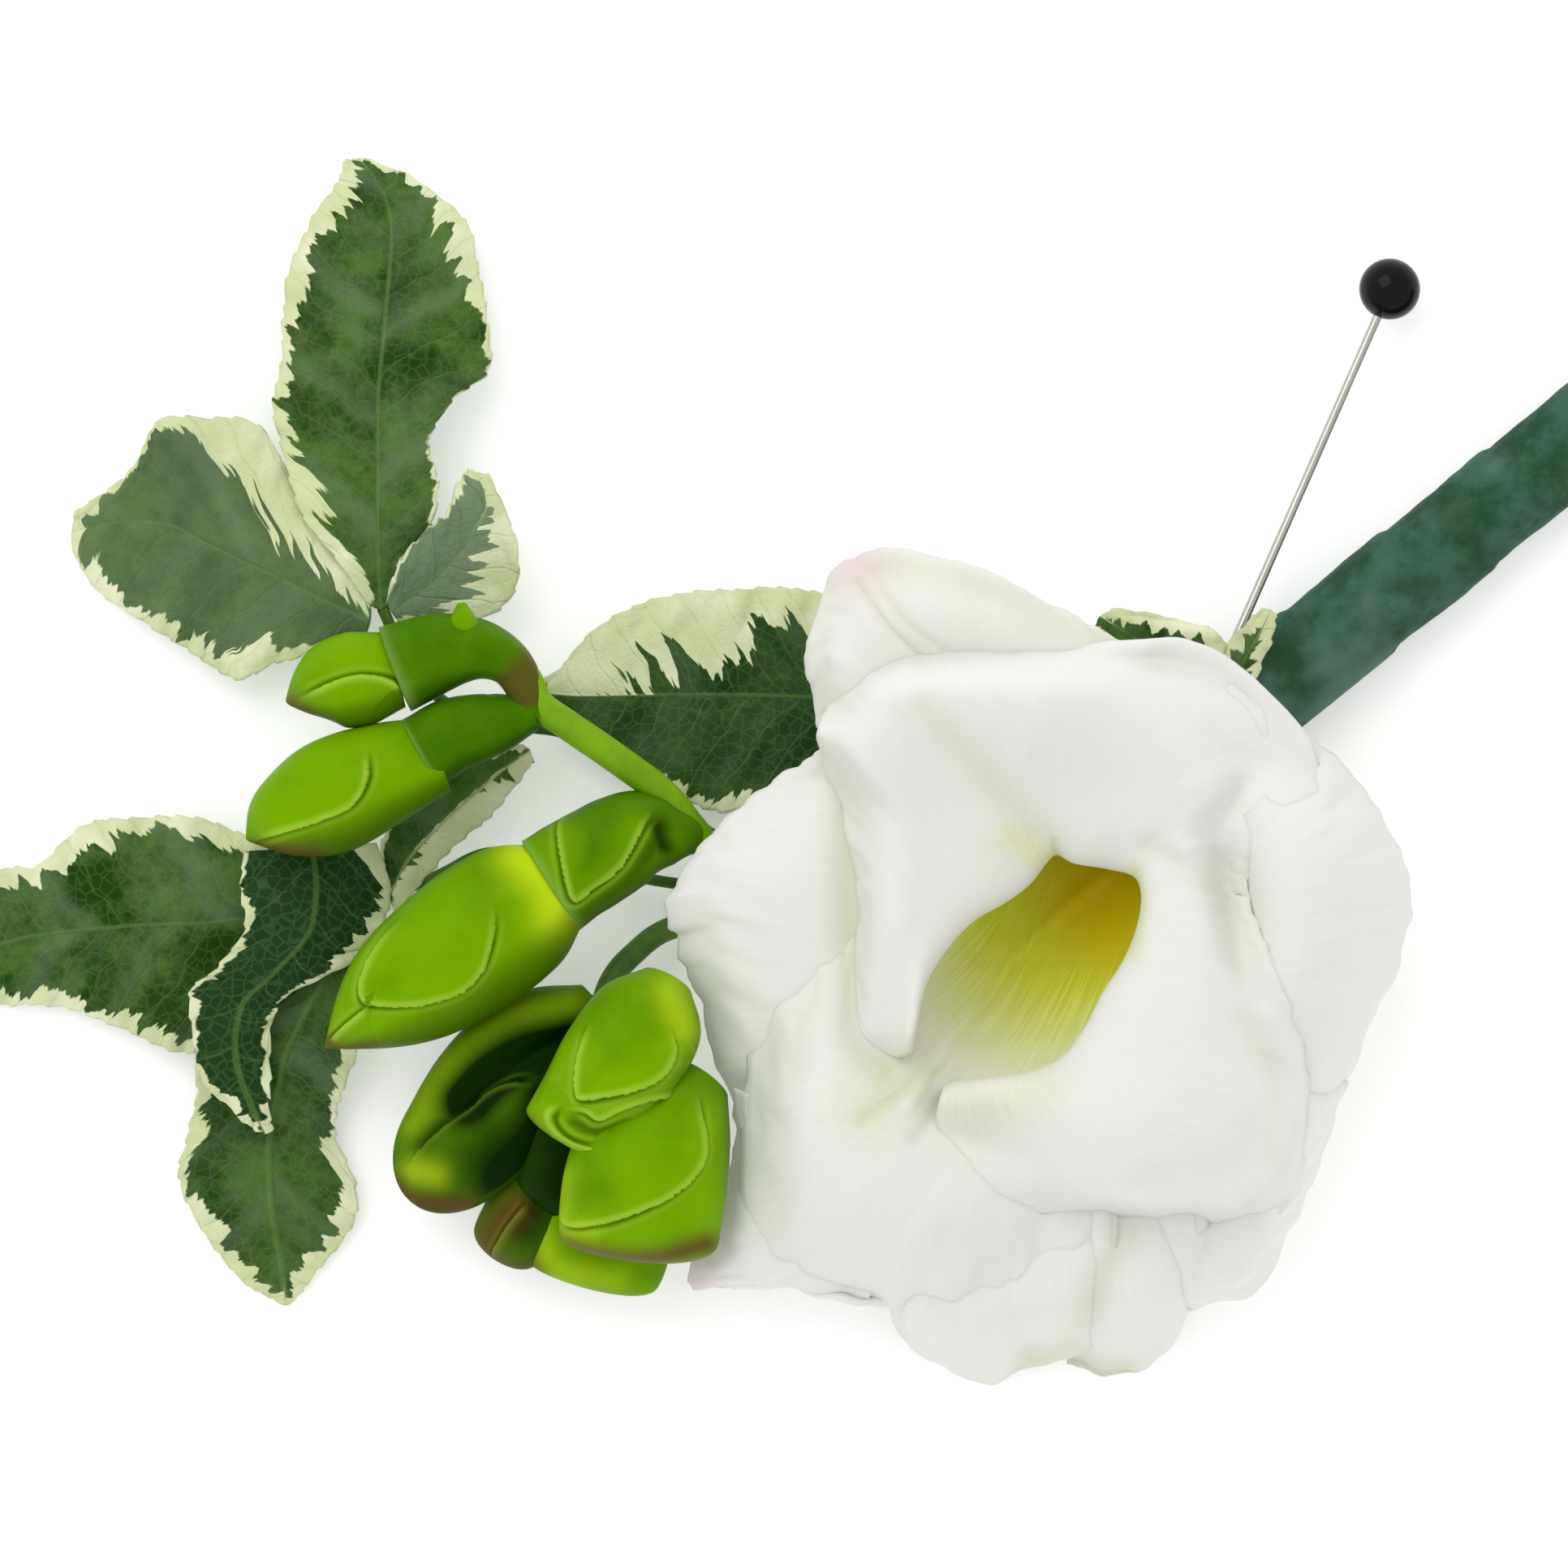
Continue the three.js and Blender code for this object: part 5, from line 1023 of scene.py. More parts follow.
SPRAY_BUDS = {
    "upper": {"axis": [[-7.6, -12.9, 9], [-9.2, -15.9, 10.6], [-11.4, -19.2, 11.6],
                       [-13.8, -23.6, 11.2]],
              "wide": [1.8, 3.5, 3.9, 3.9, 3.7, 3.8], "deep": [1.4, 2.6, 3.2, 3.2, 2.6, 1.4],
              "blunt": 0.92,
              "folds": [([[-12.6, -15.2], [-13, -16.6], [-13.4, -18.5], [-13.3, -20.4],
                          [-11.6, -20.3], [-9.3, -19.6], [-7.8, -18.6], [-7, -17.1],
                          [-7.5, -15.4]], 0.35),
                        ([[-14.4, -21.2], [-13, -21.3], [-12, -21.8], [-10.6, -21.1],
                          [-8.6, -20.4], [-6.9, -20.1], [-5.9, -19.2], [-5.4, -17.8],
                          [-6.3, -16.4]], 0.4),
                        ([[-11.4, -23.6], [-13.2, -23.3], [-14.3, -22.7], [-14.9, -21.7],
                          [-14.4, -20.7]], 0.4)],
              "dents": [([[-13.7, -21.9], [-12, -22.7], [-10, -22.2]], 0.4, 0.45, 0.55)],
              "stains": [([[-16.4, -22.2], [-15.8, -22.8]], 0.7, 0.7),
                         ([[-5, -14.4], [-5.2, -14.9]], 0.5, 0.6)],
              "highlights": [([[-7.4, -13.4], [-6.4, -16]], 1.2, 0.6),
                        ([[-16, -22.6], [-14.6, -24], [-11.4, -23.8]], 0.6, 0.4)]},
    "lower": {"axis": [[-5.3, -19.2, 8.6], [-7.6, -22.4, 10.2], [-9, -26, 11], [-9.5, -31, 10.2]],
              "wide": [2, 4, 4.8, 5.3, 5.3, 5], "deep": [1.5, 2.7, 3.3, 3.3, 2.7, 1.4],
              "blunt": 0.88,
              "folds": [([[-14.4, -25.4], [-14.9, -27.4], [-13.9, -28.7], [-11.6, -28.5],
                          [-9.5, -27.8], [-7.3, -26.7], [-5.7, -25.2], [-5.1, -23.7],
                          [-5.3, -21.4], [-5.6, -19.8]], 0.35)],
              "stains": [([[-14.8, -29.9], [-12, -30.7], [-8.5, -30.8], [-5, -29.8]], 0.85, 0.85)],
              "highlights": [([[-14.4, -25.6], [-14.2, -28.6], [-12.6, -29]], 0.9, 0.35)]},
    "outer": {"axis": [[-12.2, -14.3, 6.4], [-16, -17.3, 7], [-19.7, -21.7, 7.2],
                       [-24.2, -27.2, 6.6]],
              "wide": [1.6, 3.4, 4.4, 4.6, 4, 2.9], "deep": [1.4, 2.2, 2.6, 2.7, 2.2, 0.9],
              "folds": [([[-15.6, -19.4], [-18.2, -19.4], [-20.4, -20.6], [-22.6, -22.8],
                          [-24.8, -25.2]], 0.6)],
              "dents": [([[-13.6, -17.2], [-16.6, -17.6], [-19, -18.8], [-20.6, -20.4]],
                         0.9, 1.7, 2.2),
                        ([[-20.6, -20.4], [-22.2, -21.9], [-23.4, -23.2]], 0.4, 0.7, 0.9),
                        ([[-14.4, -20.6], [-15.2, -23], [-17.6, -25.6]], 0, 2.8, 1.5)],
              "stains": [([[-25.2, -26], [-24, -27], [-20.6, -27.4]], 0.7, 0.75)],
              "highlights": [([[-24, -25.2], [-22.6, -25.4]], 1, 0.5),
                        ([[-24, -22], [-21.4, -17.6], [-18.4, -14.9], [-14, -14.2]], 1.1, 0.3)],
              "dark": True, "sharp": 0.25},
    "heart": {"axis": [[-11.6, -14, 6.2], [-12.6, -18.5, 6.8], [-14.2, -23, 6.4],
                       [-14.6, -28.4, 6]],
              "wide": [1.2, 3, 3.5, 2.6], "deep": [1.2, 3, 3.2, 2],
              "dents": [([[-12, -16], [-13, -26]], 0, 9, 1)], "dark": True},
    "under": {"axis": [[-14, -24, 5.4], [-16.6, -27.6, 5.6], [-18.7, -31, 5.2]],
              "wide": [2, 2.6, 2.6, 2.2], "deep": [1.5, 1.9, 1.7, 0.7],
              "folds": [([[-16.6, -27], [-18, -28.8], [-19.2, -31]], 0.4)],
              "dents": [([[-15.4, -26], [-17, -28.6]], 0, 1.6, 0.9)],
              "stains": [([[-17.6, -27.6], [-19.4, -30], [-18.6, -32], [-17, -32.4]], 1.2, 0.8)],
              "dark": True, "sharp": 0.3},
    "last": {"axis": [[-10.8, -26.5, 6.2], [-11.9, -29.4, 5.8], [-12.8, -32.8, 5.2]],
             "wide": [3.4, 4.4, 4.7, 4.2], "deep": [1.7, 2, 1.8, 0.9],
             "stains": [([[-17.2, -30.4], [-16, -32]], 0.8, 0.75)],
             "highlights": [([[-16, -29], [-14.8, -31.4], [-11, -32.2]], 1, 0.4)]},
}

BRACTS = {
    "top": {"axis": [[-25.2, 7.4, 9.6], [-22.4, 8.5, 9.8], [-19.8, 8.7, 10], [-17.8, 7.8, 10.2],
                     [-16.7, 6, 10.2], [-16.3, 4.4, 9.9]],
            "wide": [2.9, 2.6, 2, 1.5, 1.2, 1.1], "deep": [2.2, 2, 1.8, 1.4, 1.2, 1.1],
            "brown": (0.55, 0.95)},
    "middle": {"axis": [[-23.5, 2, 9.6], [-21.4, 3.2, 9.8], [-18.7, 3.9, 10], [-16.2, 4.6, 10]],
               "wide": [2.5, 2.4, 2, 1.1], "deep": [2.1, 2, 1.6, 1.1]},
    "low": {"axis": [[-15.2, -6.6, 9.6], [-12.2, -4.7, 9.6], [-9.5, -3.4, 9.2],
                     [-7.2, -3.2, 8.3], [-5.8, -3.3, 7.5]],
            "wide": [3.4, 3.3, 3, 2, 1.2], "deep": [2.6, 2.4, 2.1, 1.6, 1.1],
            "folds": [([[-14.3, -1.4], [-14.7, -3.1], [-14.3, -6], [-13.7, -7.6], [-12.6, -7],
                        [-10.5, -5.3], [-9.1, -2.9], [-8.3, -1.5]], 0.3)],
            "dents": [([[-8, -2.6], [-7.6, -4.4]], 0.6, 0.7, 0.9),
                      ([[-12.6, -8.6], [-10, -6.6], [-8.4, -4.2]], 0.2, 0.8, 0.6)]},
}

BUD_STEPS, BUD_SIDES = 124, 124
BRACT_STEPS, BRACT_LIP_STEPS, BRACT_SIDES = 92, 8, 104
BUD_LUMPS, BRACT_LUMPS = 0.012, 0.03
BUD_BLUNT = 0.8

# The sides of a bud that face down the photograph, away from the light, grow darker.

SHADED_SIDE = np.array((0.35, -0.94, 0))
SIDE_SHADE = 0.7

# A fold stands highest at its free edge, with a small bead just behind it, and fades out over
# FOLD_BACK mm. In front of it the skin dips by half as much, over FOLD_FRONT mm.

FOLD_BACK, FOLD_FRONT, FOLD_DIP = 1.4, 0.5, 0.5
BEAD_HEIGHT, BEAD_PLACE, BEAD_REACH = 0.15, 0.2, 0.18
FAR_FROM_FOLDS = 9.0


def side_of(plan, line):
    """How far places lie to the left of a line seen from above, and the share of the line there."""
    shares = np.linspace(0, 1, 80)
    points = through(line, shares)
    ways = unit(np.gradient(points, axis=0))
    offset = plan[..., None, :] - points
    reach = np.linalg.norm(offset, axis=-1)
    nearest = reach.argmin(axis=-1)
    near = np.take_along_axis(offset, nearest[..., None, None], axis=-2)[..., 0, :]
    way = ways[nearest]
    left = np.sign(way[..., 0] * near[..., 1] - way[..., 1] * near[..., 0])
    return reach.min(axis=-1) * left, shares[nearest]


def fold_skin(table, look):
    """Gives a skin its folds, dents and stains, with the values that its material reads."""
    middle = table.mean(axis=1, keepdims=True)
    outwards = unit(table - middle)
    facing = smooth(-0.1, 0.25, outwards[..., 2])
    plan = table[..., :2]
    rise = np.zeros(facing.shape)
    crisp = np.zeros(facing.shape)
    edge = np.full(facing.shape, FAR_FROM_FOLDS)
    painted_shade = SIDE_SHADE * smooth(0.5, 1.1, outwards @ SHADED_SIDE)
    for line, height in look.get("folds", ()):
        left, share = side_of(plan, line)
        strength = smooth(0, 0.2, share) * smooth(1, 0.8, share) * facing
        over = smooth(-0.1, 0.1, left)
        bead = BEAD_HEIGHT * np.exp(-((left - BEAD_PLACE) / BEAD_REACH) ** 2)
        rise += height * strength * (
            over * (np.exp(-np.maximum(left, 0) / FOLD_BACK) + bead)
            - FOLD_DIP * (1 - over) * np.exp(np.minimum(left, 0) / FOLD_FRONT))
        nearer = np.abs(left) < np.abs(edge)
        edge = np.where(nearer, left, edge)
        crisp = np.where(nearer, strength, crisp)
    # Each dent sinks the skin and lays painted shade in it, as dark as its last figure says.
    for line, depth, reach, dark in look.get("dents", ()):
        share = touch(plan, line, reach) * facing
        rise -= depth * share
        painted_shade = np.maximum(painted_shade, dark * share)
    return table + outwards * rise[..., None], {
        "edge": edge, "crisp": crisp * look.get("sharp", 1), "painted_shade": painted_shade,
        "blush": marked(plan, look.get("stains", ())), "highlight": marked(plan, look.get("highlights", ()))}


def bud_rings(look, t, angle, swell):
    """The rings of a bud or bract, with its half sizes scaled by swell."""
    wide, deep = (through(look[size], t)[:, None] * swell for size in ("wide", "deep"))
    return rings(look["axis"], t, angle, wide, deep)


def add_bud(name, look, node, material, seed):
    """A bud, with its rings closer towards the tip and its points closer on top, which shows."""
    even = np.linspace(0, 1, BUD_STEPS)
    t = np.sin(even * math.pi / 2) * 0.6 + even * 0.4
    turn = np.linspace(-1, 1, BUD_SIDES, endpoint=False)[None, :]
    angle = math.pi * (0.5 + 0.65 * turn + 0.35 * turn ** 3)
    lumps = 1 + BUD_LUMPS * noise(seed, angle * 2, t[:, None] * 7)
    blunt = look.get("blunt", BUD_BLUNT)
    rounded = np.sqrt(1.0001 - np.clip((t - blunt) / (1 - blunt), 0, 1) ** 3)[:, None]
    table, values = fold_skin(bud_rings(look, t, angle, lumps * rounded), look)
    share = np.broadcast_to(t[:, None], table.shape[:2])
    low = smooth(0.1, -0.9, np.sin(angle))
    values["blush"] = np.maximum(values["blush"], smooth(0.6, 0.98, share) * low * 0.6)
    piece = body(f"bud_{name}", table, material, {
        **values, "lengthways": share, "crossways": np.broadcast_to(turn, share.shape) * 1.5})
    belongs(piece, node)


def add_bract(name, look, material, seed):
    """A sleeve round the root of a bud: out along the bract, and back inside its mouth. brown
    gives the shares of its length between which it is brown."""
    t = np.concatenate([np.linspace(1, 0, BRACT_STEPS), np.linspace(0.01, 0.16, BRACT_LIP_STEPS)])
    inner = np.concatenate([np.ones(BRACT_STEPS), np.linspace(0.93, 0.8, BRACT_LIP_STEPS)])
    angle = turns(BRACT_SIDES)
    lumps = 1 + BRACT_LUMPS * noise(seed, angle * 2, t[:, None] * 6)
    table = bud_rings(look, t, angle, inner[:, None] * lumps)[:, ::-1]
    table, values = fold_skin(table, look)
    share = np.broadcast_to(t[:, None], table.shape[:2])
    if "brown" in look:
        low, high = look["brown"]
        values["blush"] = smooth(low, low + 0.12, share) * smooth(high, high - 0.1, share) * 0.7
    piece = body(f"bract_{name}", table, material, {
        **values, "lengthways": share, "crossways": np.broadcast_to(angle / math.tau, share.shape),
        "lip": smooth(0.06, 0, share)})
    belongs(piece, "bud_spike")


def add_spike(tree, bud_skin, bract_skin, stem_skin):
    route = [in_tape(TAPE_LENGTH - 1, -0.9, 0), in_tape(TAPE_LENGTH / 2, -0.68, 0.05),
             in_tape(0, -0.45, 0.1), [24.9, 1.1, 3.7], [19.2, -1, 4.2], [12.3, -3.9, 4.6],
             [5.5, -6.1, 4.8], [-0.3, -6.6, 5.4], [-3.7, -5.4, 6.4], [-5.8, -3.1, 7.6],
             [-7.9, -0.6, 8.6], [-10.8, 1.6, 9.3], [-14, 3.8, 9.8], [-15.9, 5.2, 10.1],
             [-16.7, 6.9, 10.2], [-18.2, 8.3, 10], [-20.1, 8.7, 9.8]]
    stem = stalk("spike_stem", tree, route, (1.1, 0.98), stem_skin, 28, seed=3)
    belongs(stem, "bud_spike")
    calyx = tapered("calyx", [[19.1, -0.9, 4.2], [19, -2.2, 4.3], [18.9, -3.4, 4.5],
                              [18.8, -4.6, 4.75]], [1.2, 1.9, 2.05, 1.95], bract_skin)
    belongs(calyx, "bud_spike")
    tip = tapered("tip_bud", [[-20.6, 9.4, 10.4], [-20.8, 10.6, 10.6], [-20.9, 11.7, 10.4]],
                  [1, 0.9, 0.3], bud_skin)
    belongs(tip, "bud_spike")
    for number, (name, look) in enumerate(SPIKE_BUDS.items()):
        add_bud(name, look, "bud_spike", bud_skin, 100 + number)
    for number, (name, look) in enumerate(BRACTS.items()):
        add_bract(name, look, bract_skin, 120 + number)


def add_spray(tree, bud_skin, dark_skin, stem_skin):
    route = [in_tape(TAPE_LENGTH - 1, 1.25, 0), in_tape(TAPE_LENGTH / 2, 1.5, 0),
             in_tape(0, 1.75, 0), [23.4, -1.8, 1.6], [17.6, -5.7, 1.15], [9.7, -8.4, 1.5],
             [1.8, -8.9, 2.4], [-3.5, -8.7, 3.4], [-7.4, -9.4, 4.4], [-9.5, -10.8, 5],
             [-11.3, -12.9, 5.6], [-12.2, -16.3, 6.2], [-12.7, -19.7, 6.4]]
    stem = stalk("spray_stem", tree, route, (0.75, 0.75), stem_skin, 24, seed=5)
    belongs(stem, "bud_spray")
    for number, (name, look) in enumerate(SPRAY_BUDS.items()):
        # A dark bud takes the shaded copy of the bud green, painted shade for buds lying under
        # others.
        skin = dark_skin if look.get("dark") else bud_skin
        add_bud(name, look, "bud_spray", skin, 110 + number)


# Leaves. Each lobe is rows of left edge, midrib and right edge, from its root to its tip. cream
# gives the width of the pale margin, in mm, along the left and along the right edge. pale is how
# far a painted sheen lightens its green, and shade how far painted shade darkens it. A petiole, or
# leaf stalk, has its angle round the bore, how deep into the tape it runs, and its way from the
# tape's mouth to the leaf.

LEAVES = {
    "leaf_upper": {
        "lobes": [
            {"rows": [[[-27.1, 11.8, 5.2], [-26.2, 11.3, 5], [-25.4, 11.8, 5.2]],
                      [[-29, 14.5, 5.6], [-26.4, 14, 5.2], [-24.9, 14.5, 5.8]],
                      [[-31.1, 17.2, 5.6], [-26.5, 16.6, 5.4], [-22.9, 16.9, 6.2]],
                      [[-32.1, 19.8, 5.2], [-26.5, 19.3, 5.4], [-22.5, 19.8, 6]],
                      [[-32.9, 22.9, 4.8], [-26.5, 22.4, 5.4], [-23.1, 22.2, 5.6]],
                      [[-33.2, 25.1, 4.4], [-26.5, 25.1, 5.2], [-21.4, 25.1, 5]],
                      [[-32.6, 27.7, 4], [-26.3, 27.7, 4.8], [-19.2, 26.9, 4.4]],
                      [[-32.6, 30.3, 3.4], [-26.1, 30.3, 4.4], [-19.3, 30.3, 3.8]],
                      [[-32.1, 33.7, 2.8], [-25.8, 33.2, 3.6], [-19.8, 33.2, 3]],
                      [[-30.8, 36.6, 2], [-25.7, 36.1, 2.6], [-20.6, 36.4, 2.2]],
                      [[-29.4, 38.6, 1.4], [-26.1, 38.3, 1.6], [-22.7, 38.5, 1.4]],
                      [[-28.5, 40.5, 0.4], [-27.7, 40.8, 0.3], [-26.5, 40.5, 0.4]]],
             "cream": ([0.4, 1.3, 1.6, 1.4, 0.9, 0.7, 0.8, 0.9, 1.1, 1.4, 1.2, 0.8],
                       [0, 0, 0.1, 0.1, 0.1, 0.1, 0.2, 0.3, 1.3, 1.6, 0.8, 0.7])},
            {"rows": [[[-27.2, 9.5, 4.8], [-26.9, 10.6, 5], [-26.8, 12, 5]],
                      [[-29.8, 8.6, 4.6], [-29.5, 11.8, 4.6], [-28.9, 15, 4.7]],
                      [[-32.9, 7.9, 3.8], [-32.7, 13.4, 4], [-31.8, 19.3, 4.4]],
                      [[-35.5, 6.8, 3], [-35.1, 14.5, 3.6], [-34.1, 23.3, 4.6]],
                      [[-37.9, 8.1, 2.6], [-37.7, 15.8, 3.2], [-37.4, 23.8, 4.8]],
                      [[-39.7, 9.3, 2.2], [-39.8, 16.9, 2.8], [-40.6, 23.6, 4.8]],
                      [[-42.4, 11.1, 1.6], [-42.4, 17.2, 2.2], [-42.3, 20.6, 3.6]],
                      [[-44.6, 12.5, 0.8], [-44.5, 16.9, 1.4], [-44.3, 18.9, 2]],
                      [[-46.2, 14.6, 0.4], [-46.4, 16.4, 0.5], [-46, 17.7, 0.8]]],
             "pale": 0.35,
             "cream": ([0.2, 0.4, 1.2, 2, 1.4, 1, 1, 1.2, 1.4],
                       [1, 2, 2.8, 3.2, 2.4, 0.6, 0.1, 0.8, 1.2])},
            {"rows": [[[-25.9, 11.8, 5.2], [-25.6, 11.3, 5], [-25.1, 10.6, 4.8]],
                      [[-24.9, 14.6, 6.2], [-23.5, 12.8, 5.4], [-21.4, 10.4, 4.6]],
                      [[-23.2, 16.4, 7], [-21.8, 14.5, 5.8], [-18.6, 11.3, 4.6]],
                      [[-21.9, 17.9, 7.2], [-20.3, 16.4, 6.2], [-17.3, 13.2, 5]],
                      [[-21.1, 19.5, 7.2], [-19.4, 18.2, 6.6], [-17.6, 16.4, 6]],
                      [[-20.5, 20.5, 7], [-19.9, 20.2, 7], [-19.2, 20.1, 7]]],
             "pale": 1, "cream": ([0, 0, 0, 0.3, 0.6], [0.4, 1.5, 2.6, 2.2, 1.5])}],
        "petiole": (247, 20, [
            [25.3, 2.3, 1.3], [21.8, 0.8, 1.2], [14.9, -1, 1.2], [7.1, -3.4, 1.2],
            [0.7, -4.4, 1.3], [-4, -3.6, 1.5], [-7.2, -1.3, 1.8], [-10.3, 0.9, 2],
            [-14, 3.2, 2.2], [-17.2, 3.8, 2.6], [-21.4, 4.9, 3], [-24.3, 7.7, 3.8],
            [-26.1, 11.4, 5]])},
    "leaf_lower": {
        "lobes": [
            {"rows": [[[-28.2, -9.7, 3.8], [-27.7, -7.8, 3.8], [-28.2, -5.7, 3.8]],
                      [[-31.9, -12.8, 3.4], [-31.4, -8.4, 3.6], [-31.4, -4.2, 3.6]],
                      [[-35.6, -16.3, 3], [-35.1, -8.9, 3.4], [-35.1, -3.3, 3.4]],
                      [[-38.8, -17.5, 2.4], [-38.2, -9.2, 3.2], [-38.2, -2.2, 3.2]],
                      [[-42.2, -16.3, 2], [-41.9, -9.3, 3], [-41.9, -2.2, 3]],
                      [[-45.8, -14.8, 1.6], [-45.6, -9.6, 2.6], [-45.6, -2.7, 2.8]],
                      [[-48.7, -14.3, 1.2], [-48.5, -9.9, 2], [-48.5, -5.3, 2.2]],
                      [[-51.1, -14.3, 0.8], [-51.1, -10.5, 1.4], [-51.1, -5.7, 1.4]],
                      [[-53.2, -12.6, 0.3], [-53.5, -11.2, 0.4], [-53.1, -9.4, 0.5]]],
             "cream": ([0.4, 0.8, 1.3, 1.2, 0.9, 0.8, 0.8, 1], [0.3, 0.5, 0.9, 1.1, 1.3, 1.2, 1, 1])},
            {"rows": [[[-35.1, -4.4, 5], [-30.8, -4.2, 5], [-26.5, -3.8, 4.3]],
                      [[-35.3, -6.8, 5.6], [-30.6, -6.8, 5.4], [-25.6, -6.9, 4.1]],
                      [[-35.1, -9.6, 6.2], [-31.1, -9.7, 5.6], [-26.2, -9.4, 4.2]],
                      [[-37.1, -12.2, 6.4], [-33.2, -12.1, 6], [-28.1, -11.5, 4.6]],
                      [[-38.6, -13.6, 6.2], [-35.3, -14.2, 5.8], [-32.3, -13.8, 5.2]],
                      [[-38.3, -16.8, 5.4], [-35.8, -17.1, 5.2], [-33.3, -15.7, 4.8]],
                      [[-37.7, -19.4, 4.6], [-35.3, -19.4, 4.4], [-33.4, -19.2, 4.2]],
                      [[-35.5, -21.5, 3.8], [-34.4, -21.4, 3.8], [-33.5, -21.4, 3.8]],
                      [[-34.3, -22.5, 3.4], [-33.7, -22.7, 3.4], [-33.2, -22.5, 3.4]]],
             "shade": 0.95,
             "cream": ([0.3, 0.3, 0.4, 0.4, 0.3, 0.3, 0.8, 0.3], [1.4, 1, 1.2, 0.8, 0.4, 0.4, 0.6])},
            {"rows": [[[-29.8, -9.7, 3.8], [-28.2, -9.7, 3.8], [-26.4, -10.2, 3.8]],
                      [[-32.7, -13.9, 3.2], [-30.1, -13.1, 3.4], [-27.4, -13.9, 3.4]],
                      [[-37.9, -17.3, 2.2], [-32.2, -17.1, 2.8], [-27.7, -17.1, 3]],
                      [[-38.2, -20.2, 1.8], [-32.9, -19.9, 2.4], [-28.8, -20.2, 2.4]],
                      [[-38.9, -23.3, 1.6], [-33.5, -23.1, 2.1], [-29.2, -22.8, 2]],
                      [[-39.4, -25.7, 1.4], [-33.5, -25.7, 1.8], [-27.8, -26.3, 1.6]],
                      [[-37.9, -28.9, 1], [-33.2, -28.6, 1.4], [-28.2, -28.9, 1.2]],
                      [[-35.8, -31.8, 0.7], [-32.7, -31.5, 0.9], [-30.6, -31.9, 0.8]],
                      [[-33.7, -33.3, 0.3], [-32.5, -33.9, 0.3], [-31.7, -33.4, 0.3]]],
             "shade": 0.15,
             "cream": ([0.6, 0.8, 1, 0.8, 0.7, 1, 1.2, 0.9], [0.9, 1, 0.8, 0.8, 0.8, 0.9, 1.2, 0.8])},
            {"rows": [[[-26.4, -6.3, 3.8], [-25.7, -7.3, 3.8], [-25.3, -8.6, 3.8]],
                      [[-26, -3.4, 3.8], [-24.5, -4.9, 4], [-23.6, -6.4, 3.8]],
                      [[-24.5, -1, 3.8], [-22.4, -2.6, 4.2], [-21.4, -4, 4]],
                      [[-21.6, 1.1, 4], [-20.1, -0.5, 4.4], [-19.2, -2.2, 4.2]],
                      [[-18.7, 2.2, 4.2], [-18.1, 1.1, 4.6], [-17.6, -0.2, 4.4]],
                      [[-16.9, 2.5, 4.6], [-16.5, 2.2, 4.6], [-16.3, 1.5, 4.6]]],
             "cream": ([0.2, 0.2, 0.2, 0.3], [1.2, 1.6, 2, 1.6, 0.4])}],
        "petiole": (311, 18, [
            [25.8, 0.6, 1], [21.3, -1.3, 0.9], [14.9, -3.4, 0.9], [7.1, -5.4, 0.9],
            [-0.3, -6.3, 1.1], [-5.6, -6.6, 1.5], [-10.3, -5.9, 2], [-15.1, -4.8, 2.5],
            [-19.3, -4.5, 2.9], [-22.4, -5.9, 3.2], [-26.4, -7.6, 3.7]])},
    "leaf_back": {
        "lobes": [
            {"rows": [[[11.8, 3.2, 4.4], [12.3, 4.3, 4.4], [12.1, 5.3, 4.4]],
                      [[8.1, 0.8, 4.4], [8.6, 4.9, 4.2], [8.1, 8.7, 4.8]],
                      [[3.9, -1, 4.4], [4.4, 5.4, 4], [4.4, 11.6, 5]],
                      [[-0.3, -1.3, 4.2], [0.2, 5.6, 3.9], [0.5, 12.7, 5]],
                      [[-4.3, -1.8, 4], [-4, 5.7, 3.8], [-3.2, 12.6, 4.8]],
                      [[-7.2, -0.6, 4], [-7.4, 5.7, 3.6], [-6.6, 12.4, 4.6]],
                      [[-10.1, 0.8, 3.8], [-10.6, 5.7, 3.4], [-10.3, 11.3, 4.2]],
                      [[-12.7, 3.2, 3.4], [-13.2, 5.7, 3.1], [-12.9, 9.5, 3.6]],
                      [[-14.8, 4.9, 3], [-14.5, 5.8, 2.9], [-14.3, 7.8, 3.2]],
                      [[-15.6, 5.2, 2.8], [-15.9, 5.9, 2.8], [-15.5, 6.8, 2.8]]],
             "shade": 0.6,
             "cream": ([0.4, 0.5, 0.6, 0.8, 0.9, 0.5, 0.1, 0, 0],
                       [1.2, 1.5, 2.4, 3.2, 4.3, 5.2, 4.8, 3, 1])}],
        "petiole": (219, 9, [[24.9, 3.4, 2.4], [21.3, 4.3, 3], [16.5, 4.5, 3.8], [11.6, 4.3, 4.4]])},
    "leaf_small": {
        "lobes": [
            {"rows": [[[25.7, 3.2, 7.2], [26.3, 4, 7.2], [27.1, 4.5, 7.2]],
                      [[24.2, 5.1, 7.4], [25.7, 6.1, 7.6], [28.1, 7.2, 8]],
                      [[22.6, 7.2, 7.6], [24.4, 8.1, 7.8], [28.4, 9.6, 8.4]],
                      [[21.3, 9, 7.6], [22.8, 9.5, 7.8], [25.2, 10.7, 8.2]],
                      [[20.2, 10.1, 7.6], [20.5, 10.9, 7.6], [21.5, 11.4, 7.8]]],
             "cream": ([0.2, 0.2, 0.2], [0.6, 0.9, 1.1, 0.9])},
            {"rows": [[[26.1, 4.4, 7.3], [26.6, 4, 7.2], [27.3, 4, 7.2]],
                      [[27.8, 7.9, 8], [28.9, 6.9, 7.8], [30.2, 6.1, 7.6]],
                      [[29.4, 9.8, 8.4], [30.5, 9.3, 8.2], [31.4, 9, 7.8]],
                      [[31.1, 11.4, 8.4], [31.6, 11.3, 8.4], [32, 10.9, 8.2]]],
             "cream": ([0.6, 0.7, 0.8], [0.5, 0.6, 0.8])}],
